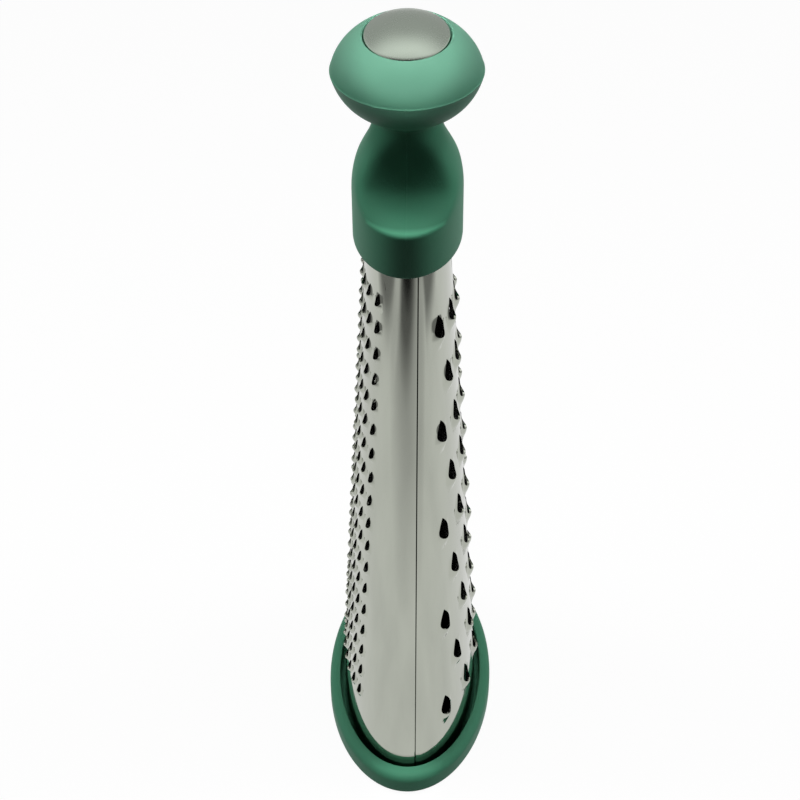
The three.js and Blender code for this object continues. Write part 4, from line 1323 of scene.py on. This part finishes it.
class GRATER_OT_stage(Operator):
    """Set up the floor, the lamps, the background and the camera"""

    bl_idname = "grater.stage"
    bl_label = "Studio"

    def execute(self, context):
        studio = context.scene.grater_studio
        context.scene.view_settings.view_transform = "Standard"
        self.add_floor(studio)
        self.set_world(context.scene, studio)
        self.add_lamps(studio)
        add_camera(studio)
        return {"FINISHED"}

    def add_lamps(self, studio):
        """One lamp above, one at each side, and narrow ones on the knob and the front of the ring."""
        above = Matrix.Translation((0.0, -0.005, 0.52))
        wide = {"shape": "RECTANGLE", "size": 0.36, "size_y": 0.10}
        add_lamp("Overhead lamp", "AREA", above, studio.overhead, **wide)
        handle = (0.0, 0.0, 0.22)
        for sign in (-1.0, 1.0):
            beside = aim((0.89 * sign, 0.16, 0.62), handle)
            add_lamp("Side lamp", "AREA", beside, studio.side, shape="SQUARE", size=0.5)
        knob = Vector((0.0, -0.010, 0.2462))
        on_knob = aim(knob + Vector((0.0, -0.594, 0.371)), knob)
        narrow = {"spot_size": math.radians(2.55), "spot_blend": 0.2, "shadow_soft_size": 0.004}
        add_lamp("Knob spot", "SPOT", on_knob, studio.spot, **narrow)
        ring_front = (0.0, -0.0475, 0.006)
        on_ring = aim((0.0, -0.25, 0.62), ring_front)
        soft = {"spot_size": math.radians(2.8), "spot_blend": 1.0, "shadow_soft_size": 0.004}
        add_lamp("Ring spot", "SPOT", on_ring, studio.ring_spot, **soft)

    def add_floor(self, studio):
        """A pale floor that keeps the object's shadow, just under the ring."""
        half, clearance = 3.0, 0.0002
        pale, mirror_share, shadow_share = (0.09, 0.09, 0.09, 1.0), 0.79, 0.05
        mesh = bpy.data.meshes.new("floor")
        corners = [(-half, -half, 0.0), (half, -half, 0.0), (half, half, 0.0), (-half, half, 0.0)]
        mesh.from_pydata(corners, [], [(0, 1, 2, 3)])
        floor = bpy.data.objects.new("floor", mesh)
        floor.location.z = -clearance
        bpy.context.scene.collection.objects.link(floor)
        material, tree, shader = new_material("Pale floor")
        shader.inputs["Roughness"].default_value = 1.0
        shader.inputs["Specular IOR Level"].default_value = 0.0
        shader.inputs["Emission Color"].default_value = (1.0, 1.0, 1.0, 1.0)
        place = add_node(tree, "ShaderNodeTexCoord").outputs["Object"]
        # The floor inside the tube is painted black as its shadow
        outside = self.outside_tube(tree, place)
        lit = add_math(tree, "MULTIPLY", self.lit_floor(tree, place, studio), outside)
        albedo = add_mix(tree, lit, (0.0, 0.0, 0.0, 1.0), pale)
        tree.links.new(albedo, shader.inputs["Base Color"])
        mirrored = add_math(tree, "MULTIPLY", lit, mirror_share)
        plain = add_math(tree, "SUBTRACT", outside, add_math(tree, "MULTIPLY", lit, shadow_share))
        tree.links.new(seen_light(tree, plain, mirrored), shader.inputs["Emission Strength"])
        mesh.materials.append(material)

    def outside_tube(self, tree, place):
        """One on the floor round the object, none inside the tube, where the floor is painted black as
        the tube's shadow.
        """
        half_x, half_y, soft_from = 0.0215, 0.0430, 0.97
        scaled = add_stretch(tree, place, (1.0 / half_x, 1.0 / half_y, 0.0))
        within = add_node(tree, "ShaderNodeVectorMath", {0: scaled}, operation="LENGTH")
        return add_range(tree, within.outputs["Value"], soft_from, 1.0, 0.0, 1.0)

    def lit_floor(self, tree, place, studio):
        """The floor that the steel mirrors: white round the object, dim further off, dark in front."""
        pool_edge, dim = 0.02, 0.28
        darkest, half_dark = 0.18, 0.6
        black_from, black_to, skew = -0.435, -0.445, 0.15
        side_edge, side_light = 0.05, 0.85
        along = add_node(tree, "ShaderNodeSeparateXYZ", {0: place}).outputs
        reach = add_size(tree, along["X"])
        half = studio.pool_half
        pool = add_range(tree, reach, half - pool_edge, half + pool_edge, 1.0, dim)
        far = add_range(tree, along["Y"], studio.dark_to, studio.dark_half_way, darkest, half_dark)
        near = add_range(tree, along["Y"], studio.dark_half_way, studio.dark_from, 0.0, 1.0 - half_dark)
        skewed = add_math(tree, "SUBTRACT", along["Y"], add_math(tree, "MULTIPLY", along["X"], skew))
        not_black = add_range(tree, skewed, black_to, black_from, 0.0, 1.0)
        ahead = add_math(tree, "MULTIPLY", add_math(tree, "ADD", far, near), not_black)
        off_side = add_size(tree, add_math(tree, "SUBTRACT", along["X"], studio.dark_x))
        half = studio.dark_half
        beside = add_range(tree, off_side, half - side_edge, half + side_edge, 0.0, side_light)
        return add_math(tree, "MINIMUM", pool, add_math(tree, "MAXIMUM", ahead, beside))

    def set_world(self, scene, studio):
        """A white background with a little even light, and the room that metal mirrors."""
        world = bpy.data.worlds.new("Studio")
        world.use_nodes = True
        tree = world.node_tree
        background = tree.nodes["Background"]
        background.inputs["Color"].default_value = (1.0, 1.0, 1.0, 1.0)
        strength = seen_light(tree, 1.0 - studio.ambient, self.mirrored_room(tree))
        tree.links.new(add_math(tree, "ADD", strength, studio.ambient), background.inputs["Strength"])
        scene.world = world

    def mirrored_room(self, tree):
        """What metal mirrors above the floor: pale overhead, behind and beside, dark in front."""
        rear_dark, rear_light, side_light, top_light = 0.03, 0.48, 0.45, 0.75
        towards = add_node(tree, "ShaderNodeTexCoord").outputs["Generated"]
        along = add_node(tree, "ShaderNodeSeparateXYZ", {0: towards}).outputs
        rear = add_range(tree, along["Y"], -0.6, 0.4, rear_dark, rear_light)
        beside = add_range(tree, add_size(tree, along["X"]), 0.45, 0.9, 0.0, side_light)
        ceiling = add_range(tree, along["Z"], 0.58, 0.84, 0.0, top_light)
        behind = add_range(tree, along["Y"], 0.2, 0.4, 0.0, 1.0)
        overhead = add_math(tree, "MULTIPLY", ceiling, behind)
        return add_math(tree, "ADD", add_math(tree, "ADD", rear, beside), overhead)


class GRATER_PT_pieces(Panel):
    """The grater's pieces and sizes"""

    bl_label = "Oval box grater"
    bl_space_type = "VIEW_3D"
    bl_region_type = "UI"
    bl_category = "Grater"

    def draw(self, context):
        for operator in OPERATORS:
            self.layout.operator(operator.bl_idname)
        for name, _ in SETTINGS:
            settings = getattr(context.scene, name)
            box = self.layout.box()
            box.label(text=settings.__doc__)
            for prop in settings.bl_rna.properties:
                if not prop.is_readonly and prop.identifier != "name":
                    box.prop(settings, prop.identifier)


SETTINGS = (
    ("grater_sheet", SheetSizes),
    ("grater_fine", FineTeeth),
    ("grater_coarse", CoarseScoops),
    ("grater_grip", GripSizes),
    ("grater_ring", RingSizes),
    ("grater_disc", DiscSizes),
    ("grater_finishes", Finishes),
    ("grater_studio", StudioSettings),
)
OPERATORS = (
    GRATER_OT_stage,
    GRATER_OT_sheet,
    GRATER_OT_grip,
    GRATER_OT_ring,
    GRATER_OT_disc,
    GRATER_OT_fastening,
)


def register():
    """Adds the settings, the operators and the panel."""
    for name, group in SETTINGS:
        bpy.utils.register_class(group)
        setattr(bpy.types.Scene, name, PointerProperty(type=group))
    for operator in OPERATORS:
        bpy.utils.register_class(operator)
    bpy.utils.register_class(GRATER_PT_pieces)


def unregister():
    """Takes them away again."""
    bpy.utils.unregister_class(GRATER_PT_pieces)
    for operator in reversed(OPERATORS):
        bpy.utils.unregister_class(operator)
    for name, group in reversed(SETTINGS):
        delattr(bpy.types.Scene, name)
        bpy.utils.unregister_class(group)


def main():
    """Builds the grater and its studio."""
    register()
    bpy.ops.grater.stage()
    bpy.ops.grater.sheet()
    bpy.ops.grater.grip()
    bpy.ops.grater.ring()
    bpy.ops.grater.disc()
    bpy.ops.grater.fastening()


if __name__ == "__main__":
    main()
